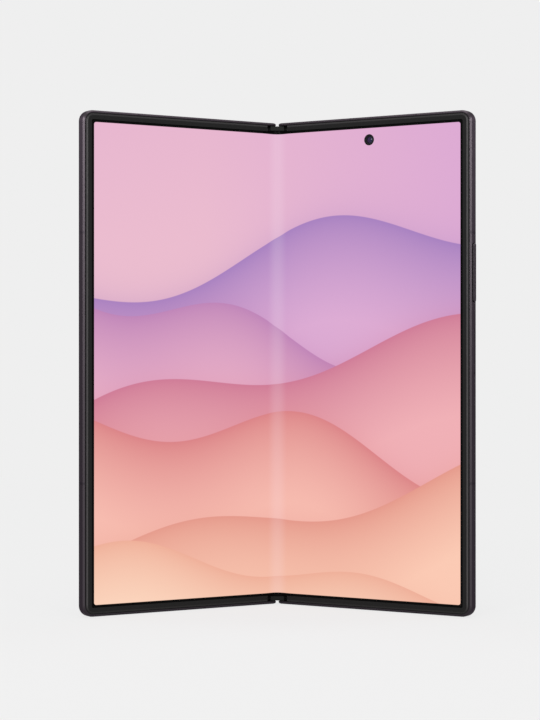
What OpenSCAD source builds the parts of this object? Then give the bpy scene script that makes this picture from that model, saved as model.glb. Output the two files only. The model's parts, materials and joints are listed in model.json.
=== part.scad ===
// Foldable phone that opens like a book, standing on its lower edge, half open.
// Each half is drawn flat, with x outwards from the middle of the hinge, y from the
// display side to the back and z up, and is then turned about its own pivot.

/* [Body] */
// Height of the body
body_h = 158.4; // [150:0.1:170]
// Width of one half, from the middle of the hinge to its outer edge
half_w = 71.6; // [68:0.1:80]
// Thickness of one half, without the camera island
half_t = 4.2; // [4.2:0.05:5]
// Radius of the outer corners
corner_r = 3.4; // [3.2:0.1:8]
// Radius of the corners beside the hinge
end_r = 1.2; // [0.6:0.1:1.3]

/* [Fold] */
// Angle through which each half is turned from flat
rest_fold = 32; // [20:1:40]
// Distance of each pivot from the middle of the hinge
pivot_x = 1.2; // [1.15:0.01:1.3]
// Gap between the metal faces of the closed halves
closed_gap = 0.5; // [0.46:0.01:0.6]
// Seam between the backs of the flat halves
seam = 0.2; // [0.1:0.01:0.3]
// Radius of the nose at the end of each half, about its pivot
nose_r = 0.75; // [0.6:0.01:0.9]

/* [Rim] */
// Chamfer along the front edge of the rim
chamfer = 0.52; // [0.3:0.01:0.6]
// Rounding along the back edge of the rim
back_round = 1.3; // [0.8:0.05:1.5]
// Width of the rim beside the bezel
lip_w = 0.8; // [0.7:0.01:0.9]
// Width of the rim beside the cavity
rim_w = 2.2; // [2:0.05:2.6]
// Thickness of the floor under the display
floor_t = 0.5; // [0.4:0.05:0.6]
// Thickness of the end walls that cover the spine
wall_end = 0.95; // [0.9:0.05:1.5]
// Width of an antenna break
antenna_w = 0.8; // [0.5:0.1:1.5]
// Depth of an antenna break
antenna_d = 0.6; // [0.3:0.05:0.65]

/* [Bezel] */
// Height of the bezel above the metal
bezel_proud = 0.22; // [0.1:0.01:0.22]
// Gap between the rim and the bezel
bezel_gap = 0.1; // [0.08:0.01:0.3]
// Distance from the outer edge to the inner edge of the bezel
bezel_in = 2.85; // [2.75:0.05:3.1]
// Width of the rounded outer edge of the bezel
bezel_slope_w = 0.8; // [0.4:0.05:1]
// Height of the rounded outer edge of the bezel
bezel_slope_h = 0.3; // [0.2:0.05:0.4]
// Rounding of the ends of the bezel beside the hinge
bezel_end_round = 0.15; // [0.1:0.05:0.4]
// Distance from the hinge at which the bezel ends
bezel_end = 4.25; // [4.1:0.05:6]

/* [Display] */
// Depth of the display under the metal face
display_drop = 0.2; // [0.2:0.01:0.3]
// Thickness of the display
display_t = 0.5; // [0.3:0.05:0.5]
// Thickness of the plate behind the display
backing_t = 0.2; // [0.1:0.05:0.2]
// Distance from the outer edge to the edge of the display
display_in = 2.55; // [2.45:0.05:2.65]
// Distance from the hinge at which the display is bonded to a half
bond_x = 6.0; // [6:0.05:6.4]
// Gap between the bezel lip and the display
lip_gap = 0.05; // [0.03:0.01:0.06]

/* [Back] */
// Thickness of the glass on the backs
glass_t = 0.6; // [0.4:0.05:0.6]
// Gap around the glass
glass_gap = 0.08; // [0.05:0.01:0.15]
// Layer of glue under the glass
glue = 0.05; // [0.02:0.01:0.1]
// Width of the metal strip between the hinge and the glass
strip_w = 2.7; // [2.5:0.05:3]
// Thickness of the cover display
cover_display_t = 0.45; // [0.3:0.05:0.5]

/* [Camera island] */
// Width of the island
island_w = 19; // [17:0.5:22]
// Length of the island
island_l = 60; // [56:0.5:70]
// Height of the island above the back
island_h = 1.3; // [0.6:0.1:2]
// Rounding of the island's rim
island_round = 0.45; // [0.2:0.05:0.55]
// Distance of the island from the edges
island_in = 6.5; // [6:0.5:9]
// Radius of a lens ring
ring_r = 7.0; // [6:0.1:8]
// Height of a lens ring above the island
ring_h = 1.1; // [0.5:0.1:1.6]
// Width of a lens ring
ring_w = 1.1; // [0.8:0.1:1.6]
// Chamfer of a lens ring
ring_chamfer = 0.3; // [0.1:0.05:0.4]
// Radius of the opening in a camera
pupil_r = 1.8; // [1.2:0.1:2.6]
// Distance from the last lens to the flash
flash_pitch = 9.5; // [9:0.1:11]
// Distance between the lenses
lens_pitch = 18.0; // [16.5:0.5:19]
// Radius of the camera in the display
punch_r = 1.8; // [1.5:0.1:2.2]
// Distance of that camera from the hinge
punch_x = 35; // [30:0.5:45]
// Distance of that camera from the upper edge
punch_down = 7.4; // [6.8:0.1:12]

/* [Keys] */
// Width of a key
key_w = 1.6; // [1.2:0.1:1.7]
// Distance of the keys from the display side
key_y = 2.05; // [2.0:0.05:2.15]
// Height of the volume key above the rim
volume_proud = 0.4; // [0.1:0.05:0.4]
// Lower end of the volume key
volume_z = 98.4; // [92:0.1:104]
// Length of the volume key
volume_l = 18.5; // [14:0.1:22]
// Lower end of the power key
power_z = 76.1; // [66:0.1:80]
// Length of the power key
power_l = 13.9; // [8:0.1:15]
// Rounding of a key's rim
key_round = 0.22; // [0.1:0.01:0.3]
// Travel of a key
key_travel = 0.25; // [0.15:0.01:0.25]
// Gap around a key
key_gap = 0.05; // [0.03:0.01:0.08]

/* [Ports] */
// Width of the charging port
port_w = 8.64; // [8.5:0.01:9.0]
// Height of the charging port
port_h = 2.86; // [2.8:0.01:2.88]
// Length of the charging port
port_l = 7.4; // [6:0.1:9]
// Wall of the charging port
port_wall = 0.15; // [0.1:0.01:0.2]
// Distance of the charging port from the hinge
port_x = 36; // [30:0.5:40]
// Width of the card tray
tray_w = 14; // [13.4:0.1:14.4]
// Height of the card tray
tray_h = 1.2; // [1:0.05:1.3]
// Length of the card tray
tray_l = 18; // [17:0.5:22]
// Distance of the card tray from the hinge
tray_x = 19.5; // [19.2:0.1:19.8]

/* [Spine] */
// Radius of the spine about each pivot
spine_r = 2.6; // [2.5:0.01:2.6]
// Distance from the pivots to the flat back of the spine
spine_flat = 2.4; // [2.35:0.01:2.45]
// Thickness of the spine cover
spine_t = 0.35; // [0.25:0.01:0.4]
// Gap between the spine and the halves
spine_gap = 0.1; // [0.06:0.01:0.15]
// Distance from the pivots to the edges of the spine cover
spine_edge = 1.1; // [1.05:0.01:1.15]
// Half width of the caps seen between the halves
cap_w = 2.2; // [1.8:0.05:2.4]
// Gap between those caps and the display
cap_gap = 0.1; // [0.05:0.01:0.2]
// Depth of those caps under the metal face
cap_y = 0.3; // [0.2:0.05:0.6]

/* [Hinge] */
// Inner radius of a hinge rail
rail_in = 1.2; // [1.15:0.01:1.3]
// Outer radius of a hinge rail
rail_out = 1.8; // [1.7:0.01:1.84]
// Running gap round a hinge rail
rail_gap = 0.04; // [0.02:0.01:0.06]
// Width of a hinge rail
rail_w = 5; // [3:0.1:6]
// Wall between two hinge rails
rail_wall = 0.8; // [0.6:0.1:1.2]
// Distance of the hinge modules from the ends
module_end = 14; // [10:0.5:24]
// Width of a rocker plate
rocker_w = 5.2; // [4.5:0.1:6]
// Thickness of a rocker
rocker_t = 0.75; // [0.5:0.05:0.78]

/* [Inside] */
// Gap around the parts in the cavity
loose = 0.05; // [0.03:0.01:0.1]
// Radius of a screw
screw_r = 0.6; // [0.4:0.05:0.7]
// Radius of a screw head
screw_head = 1.1; // [0.9:0.05:1.2]
// Thickness of a screw head
screw_head_t = 0.3; // [0.2:0.05:0.3]
// Thickness of the circuit boards
board_t = 0.5; // [0.3:0.05:0.7]
// Distance from the upper edge to the lower edge of the board in the left half
left_board_down = 34.4; // [34:0.1:40]
// Length of the board in the left half
left_board_l = 12; // [8:0.5:13]
// Distance from the upper edge to the lower edge of the main board
main_board_down = 68.4; // [68:0.1:76]
// Outer radius of the charging coil
coil_r = 20; // [16:0.5:24]
// Radius of the hole in the charging coil
coil_hole_r = 11; // [6:0.5:14]
// Width of the vibration motor
motor_w = 11; // [8:0.5:14]
// Length of the vibration motor
motor_l = 15; // [8:0.5:16]

/* [Hidden] */
$fn = 48;
far = 400;
tiny = 0.01;

// Depths in a half, from the metal face of the display side to the back
pivot_y = pivot_x - closed_gap / 2;
backing_y = display_drop + display_t;
floor_y = backing_y + backing_t;
cavity_y = floor_y + floor_t;
ledge_y = half_t - glass_t - glue;
inner_y = ledge_y - cover_display_t - loose;
hollow_r = spine_r + spine_gap;
hollow_x = pivot_x + hollow_r;
beam_x = hollow_x + 1.1;
spine_front = pivot_y + spine_edge;
spine_back = pivot_y + spine_flat;
spine_z = wall_end + spine_gap;
spine_l = body_h - 2 * spine_z;
cap_l = display_in - spine_z - cap_gap;
cap_plate = 0.3;
bezel_slope_r = (pow(bezel_slope_w, 2) + pow(bezel_slope_h, 2)) / (2 * bezel_slope_h);

// The half-open shape stands with its middle over the origin
front_y = pivot_y - (half_w - chamfer - pivot_x) * sin(rest_fold) - pivot_y * cos(rest_fold);
back_y = pivot_y + (pivot_x - seam / 2) * sin(rest_fold) + (half_t - pivot_y) * cos(rest_fold);
middle_y = (front_y + back_y) / 2;

// Hinge modules: four rails, taken by the right and left half in turn
module_l = 4 * rail_w + 5 * rail_wall;
module_z = [module_end, body_h - module_end - module_l];
rocker_y = spine_front - spine_gap / 2 - rocker_t;
rocker_in = hollow_x + 0.4;
rocker_out = rocker_in + rocker_w;
rocker_screw_x = rocker_in + rocker_w / 2;
rocker_screw_z = [4, module_l - 4];
groove_y = 1.55;
rail_start = 12;
rail_end = 158;

// Places of what lies in the halves
antenna_z = [41.7, 120.1];
antenna_in = 19.6;
antenna_x = [28, half_w - antenna_in];
inside_x = rocker_out + 1.2;
outside_x = half_w - rim_w - loose;
key_flange_in = 1.6;
key_flange_t = 0.35;
key_flange_more = 0.25;
key_shoulder = 1.2;
port_y = ledge_y + glue / 2 - port_h / 2;
tray_y = cavity_y + 0.2 + tray_h / 2;
cover_camera_down = 8.4;
cover_camera_z = body_h - cover_camera_down;
cover_camera_r = 1.6;
middle_x = 36;
screw_l = 1.5;
sound_pitch = 2.1;
loudspeaker_in = 16.2;
loudspeaker_more = 2;
earpiece_more = 1.5;
earpiece_l = 3;
earpiece_x = [for (i = [-2:2]) middle_x + sound_pitch * i];
loudspeaker_x = [for (i = [0:4]) half_w - loudspeaker_in + sound_pitch * i];
microphone_x = [24];
sound_slot_l = 1.4;
sound_slot_w = 0.8;
port_in = 0.3;
port_gap = 0.03;
island_step = 1;
camera_r = 4.8;
camera_base = 6;
lens_glass_t = 0.5;
barrel_steps = 4;
barrel_wall = 0.6;
barrel_step = 0.35;
lens_low = 1.5;
flash_r = 1.6;
battery_x1 = outside_x - 4.5;
board_low_z1 = 20;
battery_gap = 2;
board_hole_r = [1.6, 1.2];
board_hole_in = [5, 4];
can_low = 8;
can_l = 18;
can_between = 2;
can_in = 1;
can_from_camera = [5, 3];
tongue_w = 6.69;
tongue_t = 0.7;
tongue_base = 1.3;
left_board_z = body_h - left_board_down;
main_board_z = body_h - main_board_down;
coil_off = 3;
coil_x = middle_x + coil_off;
coil_z = (board_low_z1 + main_board_z) / 2;
magnet_w = 2.6;
magnet_l = 12;
magnet_z = [30, 56];
tab_l = 4;
tab_y = 2.3;
island_x = half_w - island_in - island_w / 2;
island_z = body_h - island_in - island_l / 2;
lens_z = [for (i = [-1, 0, 1]) island_z - lens_low + i * lens_pitch];
flash_z = lens_z[2] + flash_pitch;
punch_z = body_h - punch_down;

// Puts a half, drawn flat, at its resting fold: right for 1 and left for -1
module placed(side) {
    translate([0, -middle_y, 0])
        if (side > 0) folded() children();
        else mirror([1, 0, 0]) folded() children();
}

module folded() {
    translate([pivot_x, pivot_y, 0]) rotate([0, 0, -rest_fold])
        translate([-pivot_x, -pivot_y, 0]) children();
}

module on_spine() {
    translate([0, -middle_y, 0]) children();
}

// Draws its children at the lower end and mirrored at the upper end
module both_ends() {
    children();
    translate([0, 0, body_h]) mirror([0, 0, 1]) children();
}

module panel_2d(x0, x1, z0, z1, r) {
    translate([x0 + r, z0]) square([x1 - x0 - 2 * r, z1 - z0]);
    translate([x0, z0 + r]) square([x1 - x0, z1 - z0 - 2 * r]);
    for (x = [x0 + r, x1 - r], z = [z0 + r, z1 - r]) translate([x, z]) circle(r = r);
}

module slot_2d(l, w) {
    square([l - w, w], center = true);
    for (x = [-1, 1]) translate([x * (l - w) / 2, 0]) circle(d = w);
}

// A slot-shaped plate on the ground, l long, w wide and h high, with its upper rim rounded by r
module pill(l, w, h, r) {
    for (turn = [0, 180]) rotate(turn) {
        translate([(l - w) / 2, 0]) rotate(-90) rotate_extrude(angle = 180) pill_side_2d(w, h, r);
        translate([(w - l) / 2, 0]) rotate([90, 0, 90]) linear_extrude(l - w) pill_side_2d(w, h, r);
    }
}

module pill_side_2d(w, h, r) {
    difference() {
        square([w / 2, h]);
        translate([w / 2 - r, h - r]) difference() {
            square(r + 1);
            circle(r = r);
        }
    }
}

// Thickens an outline in x and z from depth y0 to depth y1
module layer(y0, y1) {
    translate([0, y1, 0]) rotate([90, 0, 0]) linear_extrude(y1 - y0) children();
}

module block(x0, x1, y0, y1, z0, z1) {
    translate([x0, y0, z0]) cube([x1 - x0, y1 - y0, z1 - z0]);
}

module pin(x, z, y0, y1, r) {
    translate([x, y1, z]) rotate([90, 0, 0]) cylinder(h = y1 - y0, r = r);
}

module screw(x, z, y, l) {
    pin(x, z, y - screw_head_t, y, screw_head);
    pin(x, z, y, y + l, screw_r);
}

// Sweeps a wall profile along the three outer sides of a half
module along_outline(x0) {
    both_ends() {
        translate([x0, 0, 0]) mirror([0, 0, 1]) rotate([0, 90, 0])
            linear_extrude(half_w - corner_r - x0) children();
        translate([half_w - corner_r, 0, corner_r]) rotate([-90, 0, 0])
            rotate_extrude(angle = 90) translate([corner_r, 0]) mirror([1, 0]) children();
    }
    translate([half_w, 0, corner_r])
        linear_extrude(body_h - 2 * corner_r) mirror([1, 0]) children();
}

module rim_edge_2d() {
    difference() {
        square([rim_w, half_t]);
        polygon([[-1, -1], [chamfer, -1], [chamfer, 0], [0, chamfer], [-1, chamfer]]);
        difference() {
            translate([-1, half_t - back_round]) square([1 + back_round, back_round + 1]);
            translate([back_round, half_t - back_round]) circle(r = back_round);
        }
    }
}

module rim_2d() {
    difference() {
        rim_edge_2d();
        translate([lip_w, -1]) square([rim_w, floor_y + 1]);
        translate([back_round, ledge_y]) square([rim_w, half_t]);
    }
}

// Room for the spine, for the whole fold
module hollow_2d() {
    translate([pivot_x, pivot_y]) circle(r = hollow_r);
    translate([-3, -2]) square([pivot_x + 3, pivot_y + hollow_r + 2]);
    translate([-3, -2]) square([hollow_x + 3, pivot_y + 2]);
}

// What the other half needs of this half's edge, for the whole fold
module hinge_cut_2d() {
    difference() {
        polygon([[-3, -2], [pivot_x, -2], [pivot_x, pivot_y], [pivot_x - nose_r, pivot_y],
                 [seam / 2, half_t + 1], [-3, half_t + 1]]);
        translate([pivot_x, pivot_y]) circle(r = nose_r);
    }
}

module beam_2d() {
    difference() {
        union() {
            translate([0, cavity_y]) square([beam_x, ledge_y - cavity_y]);
            translate([0, cavity_y]) square([strip_w, half_t - cavity_y]);
            translate([0, rocker_y]) square([bond_x + 2, 0.5]);
        }
        hollow_2d();
    }
}

// Rounds the corner beside the hinge, from the nose outwards
module end_corner_cut() {
    end_x = pivot_x - nose_r + end_r;
    difference() {
        translate([-1, -1, -1]) cube([1 + end_x, half_t + 2, 1 + end_r]);
        translate([end_x, -2, end_r]) rotate([-90, 0, 0]) cylinder(h = half_t + 4, r = end_r);
    }
}

module antenna_breaks(more) {
    for (z = antenna_z) translate([half_w, 0, z - antenna_w / 2]) linear_extrude(antenna_w)
        mirror([1, 0]) antenna_2d(more);
    both_ends() for (x = antenna_x) translate([x - antenna_w / 2, 0, 0]) mirror([0, 0, 1])
        rotate([0, 90, 0]) linear_extrude(antenna_w) antenna_2d(more);
}

module antenna_2d(more) {
    intersection() {
        if (more) translate([-1, -1]) square([antenna_d + 1, half_t + 2]);
        else rim_edge_2d();
        translate([-1, -1]) square([antenna_d + 1, half_t + 2]);
    }
}

module frame() {
    difference() {
        union() {
            along_outline(0) rim_2d();
            layer(floor_y, cavity_y)
                panel_2d(bond_x, half_w - lip_w + tiny, lip_w - tiny, body_h - lip_w + tiny,
                    corner_r - lip_w);
            translate([0, 0, wall_end]) linear_extrude(body_h - 2 * wall_end) beam_2d();
            both_ends() block(hollow_x - 1, bond_x + corner_r, floor_y, inner_y, lip_w, display_in - 0.1);
            for (z = module_z)
                block(hollow_x - 1, rocker_out + 1, cavity_y, inner_y, z - 1, z + module_l + 1);
        }
        translate([0, 0, wall_end]) linear_extrude(body_h - 2 * wall_end) hollow_2d();
        translate([0, 0, -1]) linear_extrude(body_h + 2) hinge_cut_2d();
        both_ends() end_corner_cut();
        for (z = module_z) {
            block(2, rocker_out + loose, floor_y - 1, rocker_y + rocker_t, z - loose, z + module_l + loose);
            for (dz = rocker_screw_z)
                pin(rocker_screw_x, z + dz, rocker_y, rocker_y + screw_l, screw_r + rail_gap);
        }
        antenna_breaks(true);
    }
}

module left_frame() {
    color("#5a5460") placed(-1) difference() {
        frame();
        tray_slot();
        slots_along(earpiece_x, body_h - rim_w - 1, body_h + 1);
    }
}

module right_frame() {
    color("#5a5460") placed(1) difference() {
        frame();
        key_slot(volume_z, volume_l);
        key_slot(power_z, power_l);
        port_room(port_gap);
        slots_along(loudspeaker_x, -1, rim_w + 1);
        pin(punch_x, punch_z, floor_y - 1, cavity_y + 1, punch_r + 0.1);
        for (x = microphone_x) translate([x, tray_y, -1]) cylinder(h = rim_w + 2, r = 0.4);
    }
}

// A row of sound slots through the lower or the upper wall
module slots_along(places, z0, z1) {
    for (x = places) translate([x, tray_y, z0]) linear_extrude(z1 - z0) slot_2d(sound_slot_l, sound_slot_w);
}

module left_antenna_breaks() {
    color("#48434d") placed(-1) antenna_breaks(false);
}

module right_antenna_breaks() {
    color("#48434d") placed(1) antenna_breaks(false);
}

module bezel_2d() {
    outer = lip_w + bezel_gap;
    difference() {
        union() {
            translate([outer, -bezel_proud]) square([display_in - lip_gap - outer, floor_y + bezel_proud]);
            translate([outer, -bezel_proud])
                square([bezel_in - outer, display_drop - lip_gap + bezel_proud]);
        }
        difference() {
            translate([outer - 1, -bezel_proud - 1]) square([1 + bezel_slope_w, 1 + bezel_slope_h]);
            translate([outer + bezel_slope_w, bezel_slope_r - bezel_proud]) circle(r = bezel_slope_r);
        }
    }
}

// The bezel on three sides of a half, with its ends rounded beside the hinge
module bezel() {
    difference() {
        along_outline(bezel_end) bezel_2d();
        translate([bezel_end, -bezel_proud, -1]) linear_extrude(body_h + 2) difference() {
            translate([-1, -1]) square(1 + bezel_end_round);
            translate([bezel_end_round, bezel_end_round]) circle(r = bezel_end_round);
        }
    }
}

module left_bezel() {
    color("#2a292b") placed(-1) bezel();
}

module right_bezel() {
    color("#2a292b") placed(1) difference() {
        bezel();
        port_room(port_gap);
    }
}

module display_2d() {
    r = corner_r - display_in;
    difference() {
        panel_2d(bond_x - 2 * r, half_w - display_in, display_in, body_h - display_in, r);
        square([bond_x, body_h]);
    }
}

module left_display() {
    color("#c98fa8") placed(-1) layer(display_drop, backing_y) display_2d();
}

module right_display() {
    color("#c98fa8") placed(1) layer(display_drop, backing_y) difference() {
        display_2d();
        translate([punch_x, punch_z]) circle(r = punch_r);
    }
}

module left_backing() {
    color("#3c3c40") placed(-1) layer(backing_y, floor_y) display_2d();
}

module right_backing() {
    color("#3c3c40") placed(1) difference() {
        layer(backing_y, floor_y) display_2d();
        pin(punch_x, punch_z, 0, floor_y + 1, punch_r + 0.1);
        port_room(port_gap);
    }
}

// The free stretch of the display: half a fold as a curve from the middle to the bonded edge
function bezier(a, b, c, d, t) =
    pow(1 - t, 3) * a + 3 * pow(1 - t, 2) * t * b + 3 * (1 - t) * t * t * c + pow(t, 3) * d;
function bezier_slope(a, b, c, d, t) =
    3 * pow(1 - t, 2) * (b - a) + 6 * (1 - t) * t * (c - b) + 3 * t * t * (d - c);
function turned(x, y) = [
    pivot_x + (x - pivot_x) * cos(rest_fold) + (y - pivot_y) * sin(rest_fold),
    pivot_y - (x - pivot_x) * sin(rest_fold) + (y - pivot_y) * cos(rest_fold)
];
fold_steps = 16;
fold_edge = turned(bond_x, display_drop + display_t / 2);
fold_deep = [0, fold_edge[1] + fold_edge[0] * tan(rest_fold)];
fold_hold = fold_edge + 2.6 * [-cos(rest_fold), sin(rest_fold)];
fold_flat = fold_deep + [1.9, 0];
function fold_side(off) = [
    for (i = [0:fold_steps])
        let (t = i / fold_steps, p = bezier(fold_deep, fold_flat, fold_hold, fold_edge, t),
            d = bezier_slope(fold_deep, fold_flat, fold_hold, fold_edge, t))
            p + off * [-d[1], d[0]] / norm(d)
];
function mirrored(points) = [for (i = [len(points) - 1:-1:1]) [-points[i][0], points[i][1]]];

module display_fold() {
    front = fold_side(-display_t / 2);
    back = fold_side(display_t / 2);
    color("#c98fa8") on_spine() translate([0, 0, display_in])
        linear_extrude(body_h - 2 * display_in)
            polygon(concat(mirrored(front), front, [for (i = [fold_steps:-1:0]) back[i]],
                [for (i = [1:fold_steps]) [-back[i][0], back[i][1]]]));
}

module inner_camera() {
    color("#101014") placed(1) {
        pin(punch_x, punch_z, display_drop + 0.1, cavity_y + 0.1, punch_r - 0.1);
        layer(cavity_y + loose, inner_y - 0.3)
            panel_2d(punch_x - 3, punch_x + 3, punch_z - 3, punch_z + 3, 0.6);
    }
}

module glass_2d() {
    z0 = back_round + glass_gap;
    panel_2d(strip_w + glass_gap, half_w - z0, z0, body_h - z0, corner_r - z0);
    translate([strip_w + glass_gap, z0]) square([corner_r, body_h - 2 * z0]);
}

module cover_glass() {
    color("#15151a") placed(-1) layer(half_t - glass_t, half_t) glass_2d();
}

module cover_display() {
    color("#26262e") placed(-1) layer(ledge_y - cover_display_t, ledge_y) difference() {
        panel_2d(beam_x + loose, outside_x, rim_w + loose, body_h - rim_w - loose, corner_r - rim_w);
        translate([middle_x, cover_camera_z]) circle(r = cover_camera_r + loose);
    }
}

module cover_camera() {
    color("#101014") placed(-1) {
        pin(middle_x, cover_camera_z, cavity_y + 1, ledge_y, cover_camera_r);
        layer(cavity_y + loose, cavity_y + 1)
            panel_2d(middle_x - 2.6, middle_x + 2.6, cover_camera_z - 2.6, cover_camera_z + 2.6, 0.4);
    }
}

module island_2d(less) {
    translate([island_x, island_z]) rotate(90) slot_2d(island_l - 2 * less, island_w - 2 * less);
}

module back_glass() {
    color("#4d4652") placed(1) layer(half_t - glass_t, half_t) difference() {
        glass_2d();
        island_2d(island_step);
    }
}

module at_lenses() {
    for (z = lens_z) translate([island_x, z]) children();
}

module camera_island() {
    color("#3f3a44") placed(1) difference() {
        union() {
            translate([island_x, half_t, island_z]) rotate([-90, 90, 0])
                pill(island_l, island_w, island_h, island_round);
            layer(ledge_y + glue, half_t) island_2d(island_step + glass_gap);
        }
        layer(0, half_t + island_h + 1) {
            at_lenses() circle(r = camera_r + loose);
            translate([island_x, flash_z]) circle(r = flash_r + loose);
        }
    }
}

// Turns a profile about the middle of each lens: its height runs backwards from depth y0
module spun_at_lenses(y0) {
    for (z = lens_z) translate([island_x, y0, z]) rotate([-90, 0, 0]) rotate_extrude() children();
}

module lens_rings() {
    in_r = ring_r - ring_w;
    color("#6c6672") placed(1) spun_at_lenses(half_t + island_h)
        polygon([[in_r, 0], [ring_r, 0], [ring_r, ring_h - ring_chamfer], [ring_r - ring_chamfer, ring_h],
                 [in_r + ring_chamfer / 2, ring_h], [in_r, ring_h - ring_chamfer / 2]]);
}

module lens_glasses() {
    top = half_t + island_h + ring_h - ring_chamfer / 2;
    color("#0c0c12") placed(1) layer(top - lens_glass_t, top) at_lenses() circle(r = ring_r - ring_w);
}

// Profile of a camera's barrel: its wall, then steps down to the opening
function barrel_points(h) =
    let (first = camera_r - barrel_wall, inwards = (first - pupil_r) / barrel_steps)
        concat([[0, 0], [camera_r, 0], [camera_r, h]],
            [for (i = [0:barrel_steps - 1], down = [0, 1])
                [first - i * inwards, h - (i + down) * barrel_step]],
            [[pupil_r, h - barrel_steps * barrel_step], [pupil_r, h - (barrel_steps + 1) * barrel_step],
             [0, h - (barrel_steps + 1) * barrel_step]]);

module camera_modules() {
    base_y = inner_y - 0.2;
    barrel_h = half_t + island_h + ring_h - ring_chamfer / 2 - lens_glass_t - loose - base_y;
    color("#1b1b20") placed(1) {
        spun_at_lenses(base_y) polygon(barrel_points(barrel_h));
        layer(cavity_y + loose, base_y) for (z = lens_z)
            panel_2d(island_x - camera_base, island_x + camera_base, z - camera_base, z + camera_base, 0.8);
    }
}

module flash_lens() {
    color("#e8e2c8") placed(1)
        pin(island_x, flash_z, half_t, half_t + island_h - 0.05, flash_r);
}

module left_battery() {
    color("#2f3034") placed(-1) layer(cavity_y + loose, inner_y)
        panel_2d(inside_x, battery_x1, board_low_z1 + battery_gap, left_board_z - battery_gap, 1.5);
}

module left_board() {
    color("#2c4a3a") placed(-1) layer(cavity_y + loose, cavity_y + loose + board_t) difference() {
        panel_2d(inside_x, battery_x1, left_board_z, left_board_z + left_board_l, 1);
        translate([inside_x + board_hole_in[0], left_board_z]) circle(r = board_hole_r[0]);
    }
}

module earpiece_speaker() {
    color("#3a3a3e") placed(-1) layer(cavity_y + loose, inner_y) {
        panel_2d(earpiece_x[0] - earpiece_more, earpiece_x[4] + earpiece_more,
            body_h - rim_w - earpiece_l, body_h - rim_w - loose, 0.6);
    }
}

module tray_slot() {
    translate([tray_x, tray_y, body_h - rim_w - 1]) linear_extrude(rim_w + 2)
        slot_2d(tray_w + 2 * key_gap, tray_h + 2 * key_gap);
}

module card_reader() {
    side = tray_w / 2 + 0.5;
    color("#a9a9ad") placed(-1) difference() {
        block(tray_x - side, tray_x + side, cavity_y + 0.02, inner_y, body_h - tray_l - 1.4,
            body_h - rim_w - loose);
        block(tray_x - tray_w / 2 + 0.4, tray_x + tray_w / 2 - 0.4, tray_y - tray_h / 2 + 0.1,
            tray_y + tray_h / 2 - 0.1, body_h - tray_l - 0.4, body_h);
    }
}

module card_tray() {
    wide = tray_w / 2 - 0.5;
    thick = tray_h / 2 - 0.2;
    color("#5a5460") placed(-1) difference() {
        union() {
            translate([tray_x, tray_y, body_h - rim_w]) linear_extrude(rim_w) slot_2d(tray_w, tray_h);
            block(tray_x - wide, tray_x + wide, tray_y - thick, tray_y + thick, body_h - tray_l,
                body_h - rim_w);
        }
        block(tray_x - wide + 0.6, tray_x + wide - 0.6, 0, half_t, body_h - tray_l + 1,
            body_h - rim_w - 5);
        translate([tray_x + wide - 0.9, tray_y, body_h - rim_w - 1]) cylinder(h = rim_w + 2, r = 0.35);
    }
}

module magnets() {
    layer(cavity_y + loose, inner_y) for (z = magnet_z)
        panel_2d(outside_x - magnet_w - 0.3, outside_x - 0.3, z, z + magnet_l, 0.4);
}

module left_magnets() {
    color("#b0b0b4") placed(-1) magnets();
}

module right_battery() {
    color("#2f3034") placed(1) layer(cavity_y + loose, inner_y)
        panel_2d(inside_x, battery_x1, board_low_z1 + battery_gap, main_board_z - battery_gap, 1.5);
}

module main_board() {
    color("#2c4a3a") placed(1) layer(cavity_y + loose, cavity_y + loose + board_t) difference() {
        panel_2d(inside_x, battery_x1, main_board_z, body_h - rim_w - 1, 1);
        translate([island_x - camera_base - 0.5, main_board_z - 1]) square(far);
        translate([punch_x - 3.3, punch_z - 3.3]) square(far);
        translate([inside_x + board_hole_in[1], main_board_z + board_hole_in[1]]) circle(r = board_hole_r[1]);
    }
}

module shield_cans() {
    left = inside_x + can_in;
    right = island_x - camera_base - 0.5 - can_in;
    low = main_board_z + can_low;
    high = low + can_l + can_between;
    color("#9b9ba0") placed(1) layer(cavity_y + loose + board_t, inner_y) {
        panel_2d(left, right, low, low + can_l, 0.8);
        panel_2d(left, punch_x - can_from_camera[0], high, body_h - rim_w - 2 * can_in - 1, 0.8);
        panel_2d(punch_x - can_from_camera[1], right, high, punch_z - can_from_camera[0], 0.8);
    }
}

// Room that the charging port needs in what lies round it
module port_room(gap) {
    translate([port_x, port_y, -1]) linear_extrude(port_l + port_in + 1 + gap)
        slot_2d(port_w + 2 * gap, port_h + 2 * gap);
}

module charging_port() {
    color("#8f8f94") placed(1) translate([port_x, port_y, port_in]) difference() {
        linear_extrude(port_l) slot_2d(port_w, port_h);
        translate([0, 0, -1]) linear_extrude(port_l + 1 - 0.3)
            slot_2d(port_w - 2 * port_wall, port_h - 2 * port_wall);
    }
}

module port_tongue() {
    color("#1d1d20") placed(1) translate([port_x, port_y, port_in]) {
        translate([0, 0, port_l - tongue_base - port_in]) linear_extrude(tongue_base)
            slot_2d(port_w - 2 * port_wall - 2 * rail_gap, port_h - 2 * port_wall - 2 * rail_gap);
        translate([-tongue_w / 2, -tongue_t / 2, 1]) cube([tongue_w, tongue_t, port_l - 2]);
    }
}

module loudspeaker() {
    color("#3a3a3e") placed(1) layer(cavity_y + loose, inner_y)
        panel_2d(loudspeaker_x[0] - loudspeaker_more, loudspeaker_x[4] + loudspeaker_more, rim_w + loose,
            board_low_z1, 1);
}

module vibration_motor() {
    color("#a5a5aa") placed(1) layer(cavity_y + loose, inner_y)
        panel_2d(inside_x + 1, inside_x + 1 + motor_w, board_low_z1 - motor_l, board_low_z1, 1.2);
}

module charging_coil() {
    color("#b57a48") placed(1) layer(inner_y + 0.02, ledge_y - 0.02) difference() {
        translate([coil_x, coil_z]) circle(r = coil_r);
        translate([coil_x, coil_z]) circle(r = coil_hole_r);
    }
}

module right_magnets() {
    color("#b0b0b4") placed(1) magnets();
}

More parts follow.
